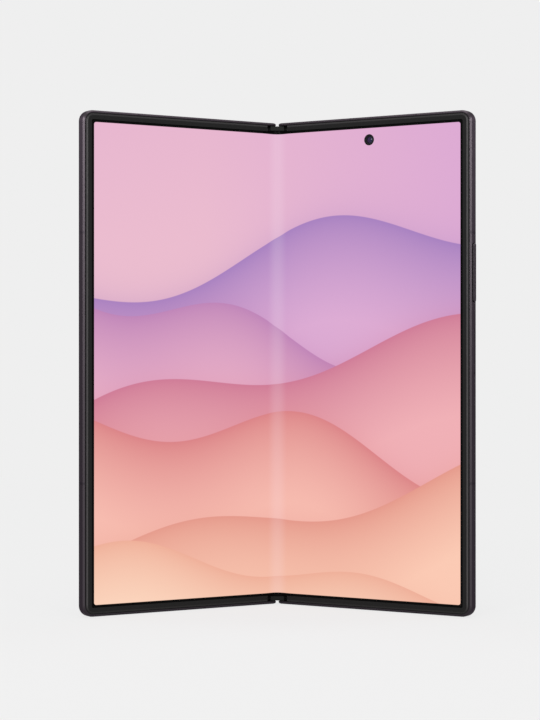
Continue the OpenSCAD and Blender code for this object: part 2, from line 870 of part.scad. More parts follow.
// A slot-shaped bar through the outer wall
module along_x(in0, in1, z, l, w) {
    translate([half_w - in0, key_y, z + l / 2]) rotate([90, 0, 90]) linear_extrude(in0 - in1)
        rotate(90) slot_2d(l, w);
}

module key_slot(z, l) {
    more = key_flange_more + key_gap;
    along_x(rim_w + 1, -1, z - key_gap, l + 2 * key_gap, key_w + 2 * key_gap);
    along_x(rim_w + 1, key_shoulder, z - more, l + 2 * more, key_w + 2 * more);
}

module key(z, l, proud) {
    back = key_shoulder + key_gap;
    translate([half_w - back - key_flange_t, key_y, z + l / 2]) rotate([90, 0, 90]) rotate(90)
        pill(l, key_w, back + key_flange_t + proud, key_round);
    along_x(back + key_flange_t, back, z - key_flange_more, l + 2 * key_flange_more,
        key_w + 2 * key_flange_more);
}

module volume_key() {
    color("#5a5460") placed(1) key(volume_z, volume_l, volume_proud);
}

module power_key() {
    color("#5a5460") placed(1) key(power_z, power_l, 0);
}

module key_switch(z, l, places) {
    block(half_w - rim_w - board_t / 2, half_w - rim_w, cavity_y + loose, inner_y, z - 1, z + l + 1);
    for (dz = places) translate([half_w - rim_w - board_t / 4, key_y, z + dz]) rotate([0, 90, 0])
        cylinder(h = rim_w + board_t / 4 - key_shoulder - key_gap * 2 - key_flange_t - key_travel, r = 0.7);
}

module key_switches() {
    color("#c8c4b4") placed(1) {
        key_switch(volume_z, volume_l, [volume_l / 6, volume_l * 5 / 6]);
        key_switch(power_z, power_l, [power_l / 2]);
    }
}

module spine_2d(r, back, front) {
    intersection() {
        union() {
            for (x = [-1, 1]) translate([x * pivot_x, pivot_y]) circle(r = r);
            translate([-pivot_x, pivot_y - r]) square([2 * pivot_x, 2 * r]);
        }
        translate([-5, front]) square([10, back - front]);
    }
}

module spine_cover() {
    color("#4a4550") on_spine() translate([0, 0, spine_z + cap_plate]) difference() {
        linear_extrude(spine_l - 2 * cap_plate) difference() {
            spine_2d(spine_r, spine_back, spine_front);
            spine_2d(spine_r - spine_t, spine_back - spine_t, 0);
        }
    }
}

module spine_end_caps() {
    color("#57525c") on_spine() both_ends() {
        translate([0, 0, spine_z]) linear_extrude(cap_plate) spine_2d(spine_r, spine_back, spine_front);
        translate([0, 0, spine_z]) linear_extrude(3)
            spine_2d(spine_r - spine_t, spine_back - spine_t, spine_front);
        block(-cap_w, cap_w, cap_y, spine_front + 0.5, spine_z, spine_z + cap_l);
    }
}

// A ring round a pivot, as wide as the rails and with their running gap
module rail_ring_2d(gap) {
    difference() {
        circle(r = rail_out + gap);
        circle(r = rail_in - gap);
    }
}

function rail_z(i) = rail_wall + i * (rail_w + rail_wall);

module bracket() {
    inner_back = spine_back - spine_t;
    difference() {
        union() {
            linear_extrude(module_l)
                spine_2d(spine_r - spine_t - rail_gap, inner_back - rail_gap, spine_front);
            linear_extrude(module_l)
                translate([-pivot_x - 0.6, groove_y]) square([2 * pivot_x + 1.2, 1]);
        }
        for (i = [0:3]) translate([0, 0, rail_z(i)]) linear_extrude(rail_w)
            translate([(i % 2 == 0 ? 1 : -1) * pivot_x, pivot_y]) rail_ring_2d(rail_gap);
    }
}

module hinge_brackets() {
    color("#8d8a92") on_spine() for (z = module_z) translate([0, 0, z]) difference() {
        union() {
            bracket();
            for (end = [-tab_l, module_l]) translate([0, 0, end]) linear_extrude(tab_l)
                spine_2d(spine_r - spine_t - rail_gap, spine_back - spine_t - rail_gap, tab_y);
        }
        for (end = [-tab_l / 2, module_l + tab_l / 2]) pin(0, end, 0, half_t, screw_r + rail_gap);
    }
}

module bracket_screws() {
    color("#b8b6bc") on_spine() for (z = module_z, end = [-tab_l / 2, module_l + tab_l / 2])
        screw(0, z + end, tab_y, spine_back - spine_t - tab_y);
}

module rocker(first) {
    for (i = [first, first + 2]) translate([0, 0, rail_z(i) + rail_gap]) {
        linear_extrude(rail_w - 2 * rail_gap) translate([pivot_x, pivot_y]) intersection() {
            rail_ring_2d(0);
            polygon([[0, 0], 4 * [cos(rail_start), sin(rail_start)], [4, 4], [0, 4], [-4, 4],
                4 * [cos(rail_end), sin(rail_end)]]);
        }
        block(pivot_x + rail_out - 0.25, rocker_in + 1, rocker_y, rocker_y + rocker_t, 0,
            rail_w - 2 * rail_gap);
    }
    difference() {
        layer(rocker_y, rocker_y + rocker_t)
            panel_2d(rocker_in, rocker_out, rail_gap, module_l - rail_gap, 0.8);
        for (z = rocker_screw_z) pin(rocker_screw_x, z, 0, half_t, screw_r + rail_gap);
    }
}

module left_rockers() {
    color("#a29fa8") placed(-1) for (z = module_z) translate([0, 0, z]) rocker(1);
}

module right_rockers() {
    color("#a29fa8") placed(1) for (z = module_z) translate([0, 0, z]) rocker(0);
}

module rocker_screws() {
    for (z = module_z, dz = rocker_screw_z) screw(rocker_screw_x, z + dz, rocker_y, screw_l - 0.1);
}

module left_rocker_screws() {
    color("#b8b6bc") placed(-1) rocker_screws();
}

module right_rocker_screws() {
    color("#b8b6bc") placed(1) rocker_screws();
}

left_frame();
left_bezel();
left_display();
left_backing();
left_antenna_breaks();
cover_glass();
cover_display();
cover_camera();
left_battery();
left_board();
earpiece_speaker();
card_reader();
card_tray();
left_magnets();
left_rockers();
left_rocker_screws();
right_frame();
right_bezel();
right_display();
right_backing();
right_antenna_breaks();
back_glass();
camera_island();
lens_rings();
lens_glasses();
camera_modules();
flash_lens();
inner_camera();
right_battery();
main_board();
shield_cans();
charging_port();
port_tongue();
loudspeaker();
vibration_motor();
charging_coil();
key_switches();
right_magnets();
right_rockers();
right_rocker_screws();
volume_key();
power_key();
spine_cover();
spine_end_caps();
hinge_brackets();
bracket_screws();
display_fold();
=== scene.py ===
import json
import math

import bmesh
import bpy
from mathutils import Matrix, Vector
from mathutils.geometry import interpolate_bezier


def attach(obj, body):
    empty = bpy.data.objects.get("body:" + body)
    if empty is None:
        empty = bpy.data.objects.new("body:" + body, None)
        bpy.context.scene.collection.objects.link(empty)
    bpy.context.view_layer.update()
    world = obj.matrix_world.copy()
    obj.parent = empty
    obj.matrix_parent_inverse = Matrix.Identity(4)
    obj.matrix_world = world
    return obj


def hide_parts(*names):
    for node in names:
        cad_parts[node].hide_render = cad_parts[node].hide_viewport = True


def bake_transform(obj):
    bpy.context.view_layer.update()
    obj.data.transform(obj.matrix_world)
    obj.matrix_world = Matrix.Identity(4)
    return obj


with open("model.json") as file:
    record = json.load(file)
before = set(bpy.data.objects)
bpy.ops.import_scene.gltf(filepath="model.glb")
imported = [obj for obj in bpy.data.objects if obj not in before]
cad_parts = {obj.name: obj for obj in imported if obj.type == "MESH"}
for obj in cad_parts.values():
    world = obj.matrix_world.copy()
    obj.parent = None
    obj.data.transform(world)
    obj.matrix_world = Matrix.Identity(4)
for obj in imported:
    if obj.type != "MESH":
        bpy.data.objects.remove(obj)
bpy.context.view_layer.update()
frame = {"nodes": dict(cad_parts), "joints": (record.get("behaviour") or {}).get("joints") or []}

scene = bpy.context.scene
nodes = frame["nodes"]
joints = {joint["name"]: joint for joint in frame["joints"]}
mm = 0.001

# Each half is drawn flat in millimetres: x from the hinge outwards, y from the display side
# to the back and z up. Its matrix then turns it to the resting fold, for right 1 and left -1.
half = {
    "width": 71.6,
    "height": 158.4,
    "thick": 4.2,
    "pivotDeep": 0.95,       # depth of the pivots under the metal face
}
pivotOut = joints["fold_right"]["pos_m"][0] / mm
pivotBack = joints["fold_right"]["pos_m"][1] / mm
restFold = math.radians(-joints["fold_right"]["range_deg"][0])


def halfToRow(side):
    folded = (Matrix.Translation((pivotOut, pivotBack, 0)) @ Matrix.Rotation(-restFold, 4, "Z")
              @ Matrix.Translation((-pivotOut, -half["pivotDeep"], 0)))
    return Matrix.Scale(mm, 4) @ Matrix.Diagonal((side, 1, 1, 1)) @ folded


# Where a flat outline lies: facing the display side or the upper edge
facing = {
    "front": Matrix.Rotation(math.radians(90), 4, "X"),
    "top": Matrix.Identity(4),
}


def outlinePlate(bm, width, length, radius, at, faces="front", segments=8, squareUpTo=None):
    corners = bmesh.ops.create_grid(bm, x_segments=1, y_segments=1, size=0.5)["verts"]
    bmesh.ops.scale(bm, vec=(width, length, 1), verts=corners)
    bmesh.ops.transform(bm, matrix=Matrix.Translation(at) @ facing[faces], verts=corners)
    rounded = [vert for vert in corners if squareUpTo is None or vert.co.x > squareUpTo]
    made = bmesh.ops.bevel(bm, geom=rounded, offset=radius, segments=segments, profile=0.5,
                           affect="VERTICES", material=-1, clamp_overlap=True)
    return made["verts"][0].link_faces[0]


def thickened(bm, faces, by):
    made = bmesh.ops.extrude_face_region(bm, geom=faces)["geom"]
    moved = [part for part in made if isinstance(part, bmesh.types.BMVert)]
    bmesh.ops.translate(bm, vec=by, verts=moved)
    return moved


def roundEdges(bm, chosen, offset, segments):
    bmesh.ops.bevel(bm, geom=chosen, offset=offset, segments=segments, profile=0.5,
                    affect="EDGES", material=-1, clamp_overlap=True)


def roundHole(bm, centre, depth, radius, segments=48):
    rim = bmesh.ops.create_circle(bm, cap_ends=False, segments=segments, radius=radius)["verts"]
    place = Matrix.Translation((centre[0], depth, centre[1])) @ facing["front"]
    bmesh.ops.transform(bm, matrix=place, verts=rim)


def filled(bm):
    # Fills the plate between the outlines drawn so far, and leaves its holes open
    rims = list(bm.edges)
    bmesh.ops.delete(bm, geom=list(bm.faces), context="FACES_ONLY")
    bmesh.ops.triangle_fill(bm, use_beauty=True, edges=rims)
    return list(bm.faces)


sharpAngle = 0.8             # radians between the two faces of a sharp edge
sameDepth = 0.001            # millimetres: points nearer than this lie at one depth


def rimAt(bm, depth, chosen=None):
    # Sharp edges at one depth, such as the rim of a plate or of its holes
    bmesh.ops.recalc_face_normals(bm, faces=bm.faces)
    found = []
    for edge in bm.edges:
        sharp = len(edge.link_faces) == 2 and edge.calc_face_angle() > sharpAngle
        level = all(abs(vert.co.y - depth) < sameDepth for vert in edge.verts)
        if sharp and level and (chosen is None or all(chosen(vert.co) for vert in edge.verts)):
            found.append(edge)
    return found


def lathe(bm, profile, centre, steps=48):
    # Turns a profile of (radius, depth) points about the line through the centre
    rim = [bm.verts.new((centre[0] + radius, depth, centre[1])) for radius, depth in profile]
    line = [bm.edges.new(pair) for pair in zip(rim, rim[1:])]
    bmesh.ops.spin(bm, geom=rim + line, cent=(centre[0], 0, centre[1]), axis=(0, 1, 0),
                   angle=math.tau, steps=steps, use_merge=True)


def dome(radius, bulge, steps=8):
    # Profile of a convex glass from its middle, at depth 0, to its rim
    ball = (radius * radius + bulge * bulge) / (2 * bulge)
    radii = [radius * step / steps for step in range(steps + 1)]
    return [(out, math.sqrt(ball * ball - out * out) - ball) for out in radii]


mergeWithin = 0.002          # millimetres: points nearer than this become one


def newPiece(name, bm, material, body=None, replaced=(), place=None, sharpOver=35):
    if place is not None:
        bmesh.ops.transform(bm, matrix=place, verts=bm.verts)
    bmesh.ops.remove_doubles(bm, verts=bm.verts, dist=mergeWithin * mm)
    bmesh.ops.recalc_face_normals(bm, faces=bm.faces)
    mesh = bpy.data.meshes.new(name)
    bm.to_mesh(mesh)
    bm.free()
    mesh.materials.append(material)
    mesh.shade_smooth()
    mesh.set_sharp_from_angle(angle=math.radians(sharpOver))
    piece = bpy.data.objects.new(name, mesh)
    scene.collection.objects.link(piece)
    if replaced:
        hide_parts(*replaced)
    if body:
        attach(piece, body)
    return piece


def halfPiece(name, bm, material, side, replaced=(), sharpOver=35):
    # A piece drawn in a half's own coordinates, which rides with that half
    newPiece(name, bm, materials[material], "right_half" if side > 0 else "left_half", replaced,
             halfToRow(side), sharpOver)


def toLinear(level):
    return level / 12.92 if level <= 0.04045 else ((level + 0.055) / 1.055) ** 2.4


def tone(red, green, blue):
    # A colour given as it shows on a screen, from 0 to 255
    return (*(toLinear(value / 255) for value in (red, green, blue)), 1)


class Nodes:
    # Adds nodes to one tree and joins them
    def __init__(self, tree):
        self.tree = tree

    def add(self, kind, settings=None, **links):
        node = self.tree.nodes.new(kind)
        for name, value in (settings or {}).items():
            setattr(node, name, value)
        for name, source in links.items():
            self.join(source, node, name.replace("_", " "))
        return node

    def join(self, source, node, name):
        # A name such as i1 stands for the input with that number
        numbered = name[0] == "i" and name[1:].isdigit()
        socket = node.inputs[int(name[1:]) if numbered else name]
        if isinstance(source, bpy.types.NodeSocket):
            self.tree.links.new(source, socket)
        else:
            socket.default_value = source

    def math(self, operation, first, second=0.0, third=0.0, clamp=False):
        node = self.add("ShaderNodeMath", {"operation": operation, "use_clamp": clamp},
                        i0=first, i1=second, i2=third)
        return node.outputs[0]

    def mixColor(self, share, first, second):
        return self.add("ShaderNodeMix", {"data_type": "RGBA"}, i0=share, i6=first, i7=second).outputs[2]

    def vector(self, operation, first, output=0, **links):
        node = self.add("ShaderNodeVectorMath", {"operation": operation}, i0=first, **links)
        return node.outputs[output]

    def group(self, tree, **links):
        return self.add("ShaderNodeGroup", {"node_tree": tree}, **links).outputs

    def relief(self, shader, height, distance):
        bump = self.add("ShaderNodeBump", Height=height, Distance=distance, Strength=1.0)
        self.join(bump.outputs["Normal"], shader, "Normal")


# Sockets that hold more than one number
socketKinds = {
    "Vector": "NodeSocketVector",
    "Normal": "NodeSocketVector",
    "Front": "NodeSocketVector",
    "Color": "NodeSocketColor",
}


def newGroup(name, inputs, outputs):
    group = bpy.data.node_groups.new(name, "ShaderNodeTree")
    for direction, labels in (("INPUT", inputs), ("OUTPUT", outputs)):
        for label in labels:
            kind = socketKinds.get(label, "NodeSocketFloat")
            socket = group.interface.new_socket(label, in_out=direction, socket_type=kind)
            if direction == "INPUT" and inputs[label] is not None:
                socket.default_value = inputs[label]
    make = Nodes(group)
    return group, make, make.add("NodeGroupInput").outputs, make.add("NodeGroupOutput")


grainMix = {
    "fineDetail": 2.0,
    "fineShare": 0.3,
    "patchDetail": 3.0,
    "patchShare": 0.7,
}


def buildSurfaceGrain():
    # Fine blasted grain and slow patches of tone, for metal, plastic and paint
    group, make, given, out = newGroup(
        "surfaceGrain",
        {"Vector": None, "Color": (0.1, 0.1, 0.1, 1), "Roughness": 0.4, "Grain size": 0.0002,
         "Patch size": 0.02, "Tone": 0.1, "Unevenness": 0.05},
        ["Color", "Roughness", "Height"])
    fine = make.add("ShaderNodeTexNoise", Vector=given["Vector"], Detail=grainMix["fineDetail"],
                    Scale=make.math("DIVIDE", 1.0, given["Grain size"])).outputs["Fac"]
    patches = make.add("ShaderNodeTexNoise", Vector=given["Vector"], Detail=grainMix["patchDetail"],
                       Scale=make.math("DIVIDE", 1.0, given["Patch size"])).outputs["Fac"]
    both = make.math("ADD", make.math("MULTIPLY", patches, grainMix["patchShare"]),
                     make.math("MULTIPLY", fine, grainMix["fineShare"]))
    swing = make.math("MULTIPLY_ADD", both, 2.0, -1.0)
    level = make.math("MULTIPLY_ADD", swing, given["Tone"], 1.0)
    make.join(make.vector("SCALE", given["Color"], Scale=level), out, "Color")
    rough = make.math("MULTIPLY_ADD", swing, given["Unevenness"], given["Roughness"], clamp=True)
    make.join(rough, out, "Roughness")
    make.join(fine, out, "Height")
    return group


def buildRoundedPanel():
    # 1 inside a rectangle with round corners about the origin of the vector, 0 outside
    group, make, given, out = newGroup(
        "roundedPanel",
        {"Vector": None, "Half width": 1.0, "Half height": 1.0, "Radius": 0.1, "Edge": 0.05}, ["Mask"])
    across = make.add("ShaderNodeSeparateXYZ", Vector=given["Vector"]).outputs
    beyond = []
    for axis, size in ((0, "Half width"), (1, "Half height")):
        inner = make.math("SUBTRACT", given[size], given["Radius"])
        past = make.math("SUBTRACT", make.math("ABSOLUTE", across[axis]), inner)
        beyond.append(make.math("MAXIMUM", past, 0.0))
    squares = make.math("ADD", make.math("MULTIPLY", beyond[0], beyond[0]),
                        make.math("MULTIPLY", beyond[1], beyond[1]))
    distance = make.math("SUBTRACT", make.math("SQRT", squares), given["Radius"])
    mask = make.math("SUBTRACT", 0.5, make.math("DIVIDE", distance, given["Edge"]), clamp=True)
    make.join(mask, out, "Mask")
    return group


duneShape = {
    "secondTurn": 0.46,      # a second wave in each crest, as shares of the first
    "secondPhase": 1.7,
    "secondSwell": 0.8,
    "crestEdge": 4.0,        # how fast a crest begins, per millimetre
    "depthCurve": 0.7,
}


def buildDune():
    # One rolling dune of the picture: its mask, the shade above its crest and its depth below it
    group, make, given, out = newGroup(
        "dune",
        {"Vector": None, "Height": 60.0, "Slope": 0.0, "Swell": 10.0, "Length": 90.0, "Phase": 0.0,
         "Shade distance": 6.0, "Fade distance": 30.0},
        ["Mask", "Shade", "Depth"])
    place = make.add("ShaderNodeSeparateXYZ", Vector=given["Vector"]).outputs
    turn = make.math("DIVIDE", math.tau, given["Length"])
    angle = make.math("MULTIPLY_ADD", place[0], turn, given["Phase"])
    second = make.math("MULTIPLY_ADD", place[0], make.math("MULTIPLY", turn, duneShape["secondTurn"]),
                       make.math("MULTIPLY", given["Phase"], duneShape["secondPhase"]))
    ripple = make.math("MULTIPLY", make.math("SINE", second), duneShape["secondSwell"])
    wave = make.math("ADD", make.math("SINE", angle), ripple)
    line = make.math("MULTIPLY_ADD", place[0], given["Slope"], given["Height"])
    crest = make.math("MULTIPLY_ADD", wave, given["Swell"], line)
    below = make.math("SUBTRACT", crest, place[1])
    make.join(make.math("MULTIPLY_ADD", below, duneShape["crestEdge"], 0.5, clamp=True), out, "Mask")
    above = make.math("MAXIMUM", make.math("MULTIPLY", below, -1.0), 0.0)
    fading = make.math("MULTIPLY", make.math("DIVIDE", above, given["Shade distance"]), -1.0)
    make.join(make.math("EXPONENT", fading), out, "Shade")
    depth = make.math("DIVIDE", below, given["Fade distance"], clamp=True)
    make.join(make.math("POWER", depth, duneShape["depthCurve"]), out, "Depth")
    return group


maskSharpness = 3.0          # how fast the mask becomes full inside the spread


def buildEdgeMask():
    # 1 on faces turned from the front of a half by an angle close to the given one
    group, make, given, out = newGroup(
        "edgeMask",
        {"Normal": None, "Front": (0, -1, 0), "Angle": 0.8, "Spread": 0.2}, ["Mask"])
    turned = make.vector("DOT_PRODUCT", given["Normal"], "Value", i1=given["Front"])
    off = make.math("ABSOLUTE", make.math("SUBTRACT", make.math("ARCCOSINE", turned), given["Angle"]))
    inside = make.math("SUBTRACT", 1.0, make.math("DIVIDE", off, given["Spread"]))
    make.join(make.math("MULTIPLY", inside, maskSharpness, clamp=True), out, "Mask")
    return group


surfaceGrain = buildSurfaceGrain()
roundedPanel = buildRoundedPanel()
dune = buildDune()
edgeMask = buildEdgeMask()
print("node groups built")


def newMaterial(name, shaderValues):
    material = bpy.data.materials.new(name)
    material.use_nodes = True
    make = Nodes(material.node_tree)
    shader = material.node_tree.nodes["Principled BSDF"]
    for label, value in shaderValues.items():
        shader.inputs[label].default_value = value
    return material, make, shader


metallic = {"Metallic": 1.0}
darkMetallic = {"Metallic": 1.0, "Specular Tint": (0.5, 0.475, 0.5, 1)}

# Each plain finish: its colour, how rough it is, the size of its grain and of its patches, how far
# tone and roughness swing, the height of the grain, and the shader's own values
finishFields = ("color", "rough", "grain", "patch", "tone", "uneven", "bump", "shader")
finishRows = {
    "anodised_metal": (tone(54, 49, 54), 0.36, 0.0002, 0.03, 0.03, 0.02, 0.0000008, darkMetallic),
    "antenna_plastic": (tone(46, 42, 47), 0.36, 0.0002, 0.03, 0.03, 0.02, 0.0000008, darkMetallic),
    "bezel_plastic": (
        tone(18, 18, 18), 0.3, 0.0002, 0.01, 0.05, 0.03, 0.0000008, {"Specular IOR Level": 0.16}),
    "island_metal": (tone(70, 62, 72), 0.3, 0.0002, 0.02, 0.03, 0.03, 0.0000008, {"Metallic": 0.9}),
    "display_backing": (tone(70, 70, 74), 0.45, 0.0003, 0.02, 0.08, 0.05, 0.000002, {"Metallic": 0.8}),
    "back_glass": (
        tone(62, 55, 66), 0.34, 0.0002, 0.04, 0.04, 0.04, 0.000001,
        {"Metallic": 0.35, "Coat Weight": 0.35, "Coat Roughness": 0.22}),
    "cap_metal": (
        tone(22, 23, 22), 0.42, 0.0002, 0.01, 0.06, 0.04, 0.000002,
        {"Metallic": 0.6, "Specular IOR Level": 0.2}),
    "camera_body": (
        tone(14, 14, 16), 0.42, 0.0002, 0.006, 0.1, 0.05, 0.000003, {"Specular IOR Level": 0.2}),
    "battery_wrap": (
        tone(40, 41, 45), 0.38, 0.0008, 0.02, 0.12, 0.08, 0.00002,
        {"Coat Weight": 0.3, "Coat Roughness": 0.3}),
    "circuit_board": (
        tone(28, 66, 48), 0.4, 0.0006, 0.004, 0.25, 0.1, 0.00003,
        {"Coat Weight": 0.4, "Coat Roughness": 0.2}),
    "speaker_case": (
        tone(44, 44, 47), 0.5, 0.0003, 0.01, 0.08, 0.05, 0.00001, {"Specular IOR Level": 0.4}),
    "steel_sheet": (tone(176, 176, 180), 0.3, 0.0005, 0.01, 0.06, 0.08, 0.000004, metallic),
    "magnet_plate": (tone(168, 168, 172), 0.28, 0.0004, 0.01, 0.05, 0.05, 0.000004, metallic),
    "hinge_steel": (tone(140, 136, 142), 0.32, 0.0003, 0.008, 0.07, 0.06, 0.000004, metallic),
    "screw_steel": (tone(182, 180, 186), 0.26, 0.0002, 0.004, 0.06, 0.06, 0.000003, metallic),
    "copper_wire": (tone(196, 128, 84), 0.3, 0.0004, 0.01, 0.1, 0.06, 0.00001, metallic),
    "ring_metal": (
        tone(112, 104, 116), 0.22, 0.0003, 0.008, 0.05, 0.05, 0.000002,
        {"Metallic": 1.0, "Specular Tint": (0.6, 0.56, 0.6, 1)}),
    "contact_gold": (tone(214, 176, 104), 0.25, 0.0003, 0.004, 0.06, 0.05, 0.000002, metallic),
    "flash_resin": (
        tone(232, 222, 180), 0.3, 0.0004, 0.003, 0.08, 0.05, 0.00001,
        {"Coat Weight": 0.8, "Coat Roughness": 0.05}),
    "port_steel": (tone(150, 150, 154), 0.28, 0.0003, 0.005, 0.06, 0.06, 0.000003, metallic),
    "port_resin": (
        tone(22, 22, 24), 0.45, 0.0002, 0.005, 0.08, 0.05, 0.000003, {"Specular IOR Level": 0.4}),
    "switch_dome": (tone(204, 198, 178), 0.35, 0.0002, 0.004, 0.08, 0.05, 0.000004, {"Metallic": 0.6}),
}
finishes = {name: dict(zip(finishFields, row)) for name, row in finishRows.items()}

# Edges with painted light and shade: the angle from the front at which they lie, its spread, the
# colour and roughness there, and how much of it the rim's upper and lower runs keep, as the
# light falls there
rimEdges = {
    # chamfer: polished and lighter in itself, with a painted highlight, left off the lower run as painted
    # shade
    "chamfer": {"angle": 45, "spread": 16, "color": tone(70, 64, 69), "rough": 0.3, "ends": (1.0, 0.0)},
    # breakChamfer: the same on the antenna breaks, polish and painted highlight, with painted shade on the
    # lower run
    "breakChamfer": {"angle": 45, "spread": 16, "color": tone(60, 55, 60), "rough": 0.3, "ends": (1.0, 0.0)},
    # lip: painted shade in the gap between the metal and the bezel, on the upright runs only
    "lip": {"angle": 0, "spread": 12, "color": tone(32, 29, 32), "rough": 0.4, "ends": (0.0, 0.0)},
    # keyRoundHighlight: painted highlight on the keys' rounded edges
    "keyRoundHighlight": {"angle": 45, "spread": 36, "color": tone(70, 64, 69), "rough": 0.3, "ends": (1.0, 1.0)},
    # bezelRoundHighlight: painted highlight on the bezel's rounded outer edge, weaker on the upper and lower
    # runs
    "bezelRoundHighlight": {"angle": 21, "spread": 14, "color": tone(62, 60, 61), "rough": 0.3, "ends": (0.45, 0.2)},
}
levelRun = {
    "wide": 2.0,             # the runs reach this far from the upper and lower edge
    "fade": 2.0,
}


def paintedShareByRun(make, place, edge):
    # Share of an edge's painted light and shade: full on the upright runs of the rim, and the
    # edge's listed share on the upper and lower runs, by how the light falls there
    above, below = edge["ends"]
    height = make.add("ShaderNodeSeparateXYZ", Vector=place).outputs["Z"]
    wide, fade, top = levelRun["wide"] * mm, levelRun["fade"] * mm, half["height"] * mm
    low = make.add("ShaderNodeMapRange", Value=height, From_Min=wide, From_Max=wide + fade,
                   To_Min=below, To_Max=1.0).outputs["Result"]
    high = make.add("ShaderNodeMapRange", Value=height, From_Min=top - wide - fade, From_Max=top - wide,
                    To_Min=1.0, To_Max=above).outputs["Result"]
    return make.math("MULTIPLY", low, high)


def addGrain(make, shader, place, color, rough, look):
    grain = make.group(surfaceGrain, Vector=place, Color=color, Roughness=rough, Grain_size=look["grain"],
                       Patch_size=look["patch"], Tone=look["tone"], Unevenness=look["uneven"])
    make.join(grain["Roughness"], shader, "Roughness")
    return grain


def grained(name, look, side=1, chosenEdges=()):
    material, make, shader = newMaterial(name, look["shader"])
    coordinates = make.add("ShaderNodeTexCoord").outputs
    front = (halfToRow(side).to_3x3() @ Vector((0, -1, 0))).normalized()
    color = look["color"]
    rough = look["rough"]
    # Each chosen edge mixes in its listed colour: chamfer polish, painted highlight and painted shade
    for edge in [rimEdges[chosen] for chosen in chosenEdges]:
        angle, spread = math.radians(edge["angle"]), math.radians(edge["spread"])
        turned = make.group(edgeMask, Normal=coordinates["Normal"], Front=front, Angle=angle, Spread=spread)
        onEdge = make.math("MULTIPLY", turned["Mask"], paintedShareByRun(make, coordinates["Object"], edge))
        color = make.mixColor(onEdge, color, edge["color"])
        rough = make.math("MULTIPLY_ADD", onEdge, edge["rough"] - look["rough"], rough)
    grain = addGrain(make, shader, coordinates["Object"], color, rough, look)
    make.join(grain["Color"], shader, "Base Color")
    make.relief(shader, grain["Height"], look["bump"])
    return material


materials = {name: grained(name, look) for name, look in finishes.items()}
# Metal, antenna breaks and bezel of each half, with the painted highlight and shade of their rim edges
edgedFinishes = {
    "metal": ("anodised_metal", ["chamfer", "lip"]),
    "break": ("antenna_plastic", ["breakChamfer"]),
    "bezel": ("bezel_plastic", ["bezelRoundHighlight"]),
}
for sideName, side in (("left", -1), ("right", 1)):
    for partName, (finish, chosenEdges) in edgedFinishes.items():
        materialName = sideName + "_" + partName
        materials[materialName] = grained(materialName, finishes[finish], side, chosenEdges)
# The keys: their metal, with a painted highlight on the rounded edges
materials["key_metal"] = grained("key_metal", finishes["anodised_metal"], 1, ["keyRoundHighlight"])

# Glass keeps one plain tint, and its index is low because its faces are coated against glare
glassLooks = {
    "cover_glass": {"tint": (0.86, 0.87, 0.9, 1), "rough": 0.02, "index": 1.26},
    "lens_glass": {"tint": (0.9, 0.92, 0.95, 1), "rough": 0.01, "index": 1.16},
}
glassGrain = {"grain": 0.004, "patch": 0.03, "tone": 0.0, "uneven": 0.015}


def clearGlass(name, look):
    material, make, shader = newMaterial(
        name, {"Base Color": look["tint"], "Transmission Weight": 1.0, "IOR": look["index"]})
    place = make.add("ShaderNodeTexCoord").outputs["Object"]
    addGrain(make, shader, place, look["tint"], look["rough"], glassGrain)
    return material


# Dark coated optics: deep blue tint face on, and a painted violet sheen, the coating's reflection, towards
# the rim
lensCoat = {
    "shader": {"IOR": 1.25, "Coat Weight": 0.2, "Coat Roughness": 0.02},
    "faceOn": tone(18, 24, 52),
    "rimSheen": tone(86, 38, 92),
    "blend": 0.35,
    "rough": 0.06, "grain": 0.001, "patch": 0.004, "tone": 0.05, "uneven": 0.02,
}


def coatedLens():
    material, make, shader = newMaterial("coated_lens", lensCoat["shader"])
    # painted sheen: the violet grows as the lens turns away from the view
    rimSheenShare = make.add("ShaderNodeLayerWeight", Blend=lensCoat["blend"]).outputs["Facing"]
    place = make.add("ShaderNodeTexCoord").outputs["Object"]
    color = make.mixColor(rimSheenShare, lensCoat["faceOn"], lensCoat["rimSheen"])
    grain = addGrain(make, shader, place, color, lensCoat["rough"], lensCoat)
    make.join(grain["Color"], shader, "Base Color")
    return material


# Woven steel mesh: round openings in rows, painted dark as the shade seen through them
dustMesh = {
    "pitch": 0.16,
    "opening": 0.3,          # radius of an opening, as a share of the pitch
    "rimSlope": 12.0,
    "bump": 0.00002,
    # painted shade seen through the openings
    "open": tone(6, 6, 7),
    "steel": tone(92, 90, 94),
}


def flatPlace(make):
    # A flat piece's own coordinates, in metres
    return make.add("ShaderNodeUVMap", {"uv_map": "flat"}).outputs["UV"]


def dustMeshMaterial():
    material, make, shader = newMaterial("dust_mesh", {"Metallic": 1.0, "Roughness": 0.4})
    cells = make.vector("SCALE", flatPlace(make), Scale=1 / (dustMesh["pitch"] * mm))
    off = make.vector("DISTANCE", make.vector("FRACTION", cells), "Value", i1=(0.5, 0.5, 0.0))
    slope = dustMesh["rimSlope"]
    solid = make.math("MULTIPLY_ADD", off, slope, -slope * dustMesh["opening"], clamp=True)
    make.join(make.mixColor(solid, dustMesh["open"], dustMesh["steel"]), shader, "Base Color")
    make.relief(shader, solid, dustMesh["bump"])
    return material


for glassName, glassLook in glassLooks.items():
    materials[glassName] = clearGlass(glassName, glassLook)
materials["coated_lens"] = coatedLens()
materials["dust_mesh"] = dustMeshMaterial()


# The display: one picture over both halves

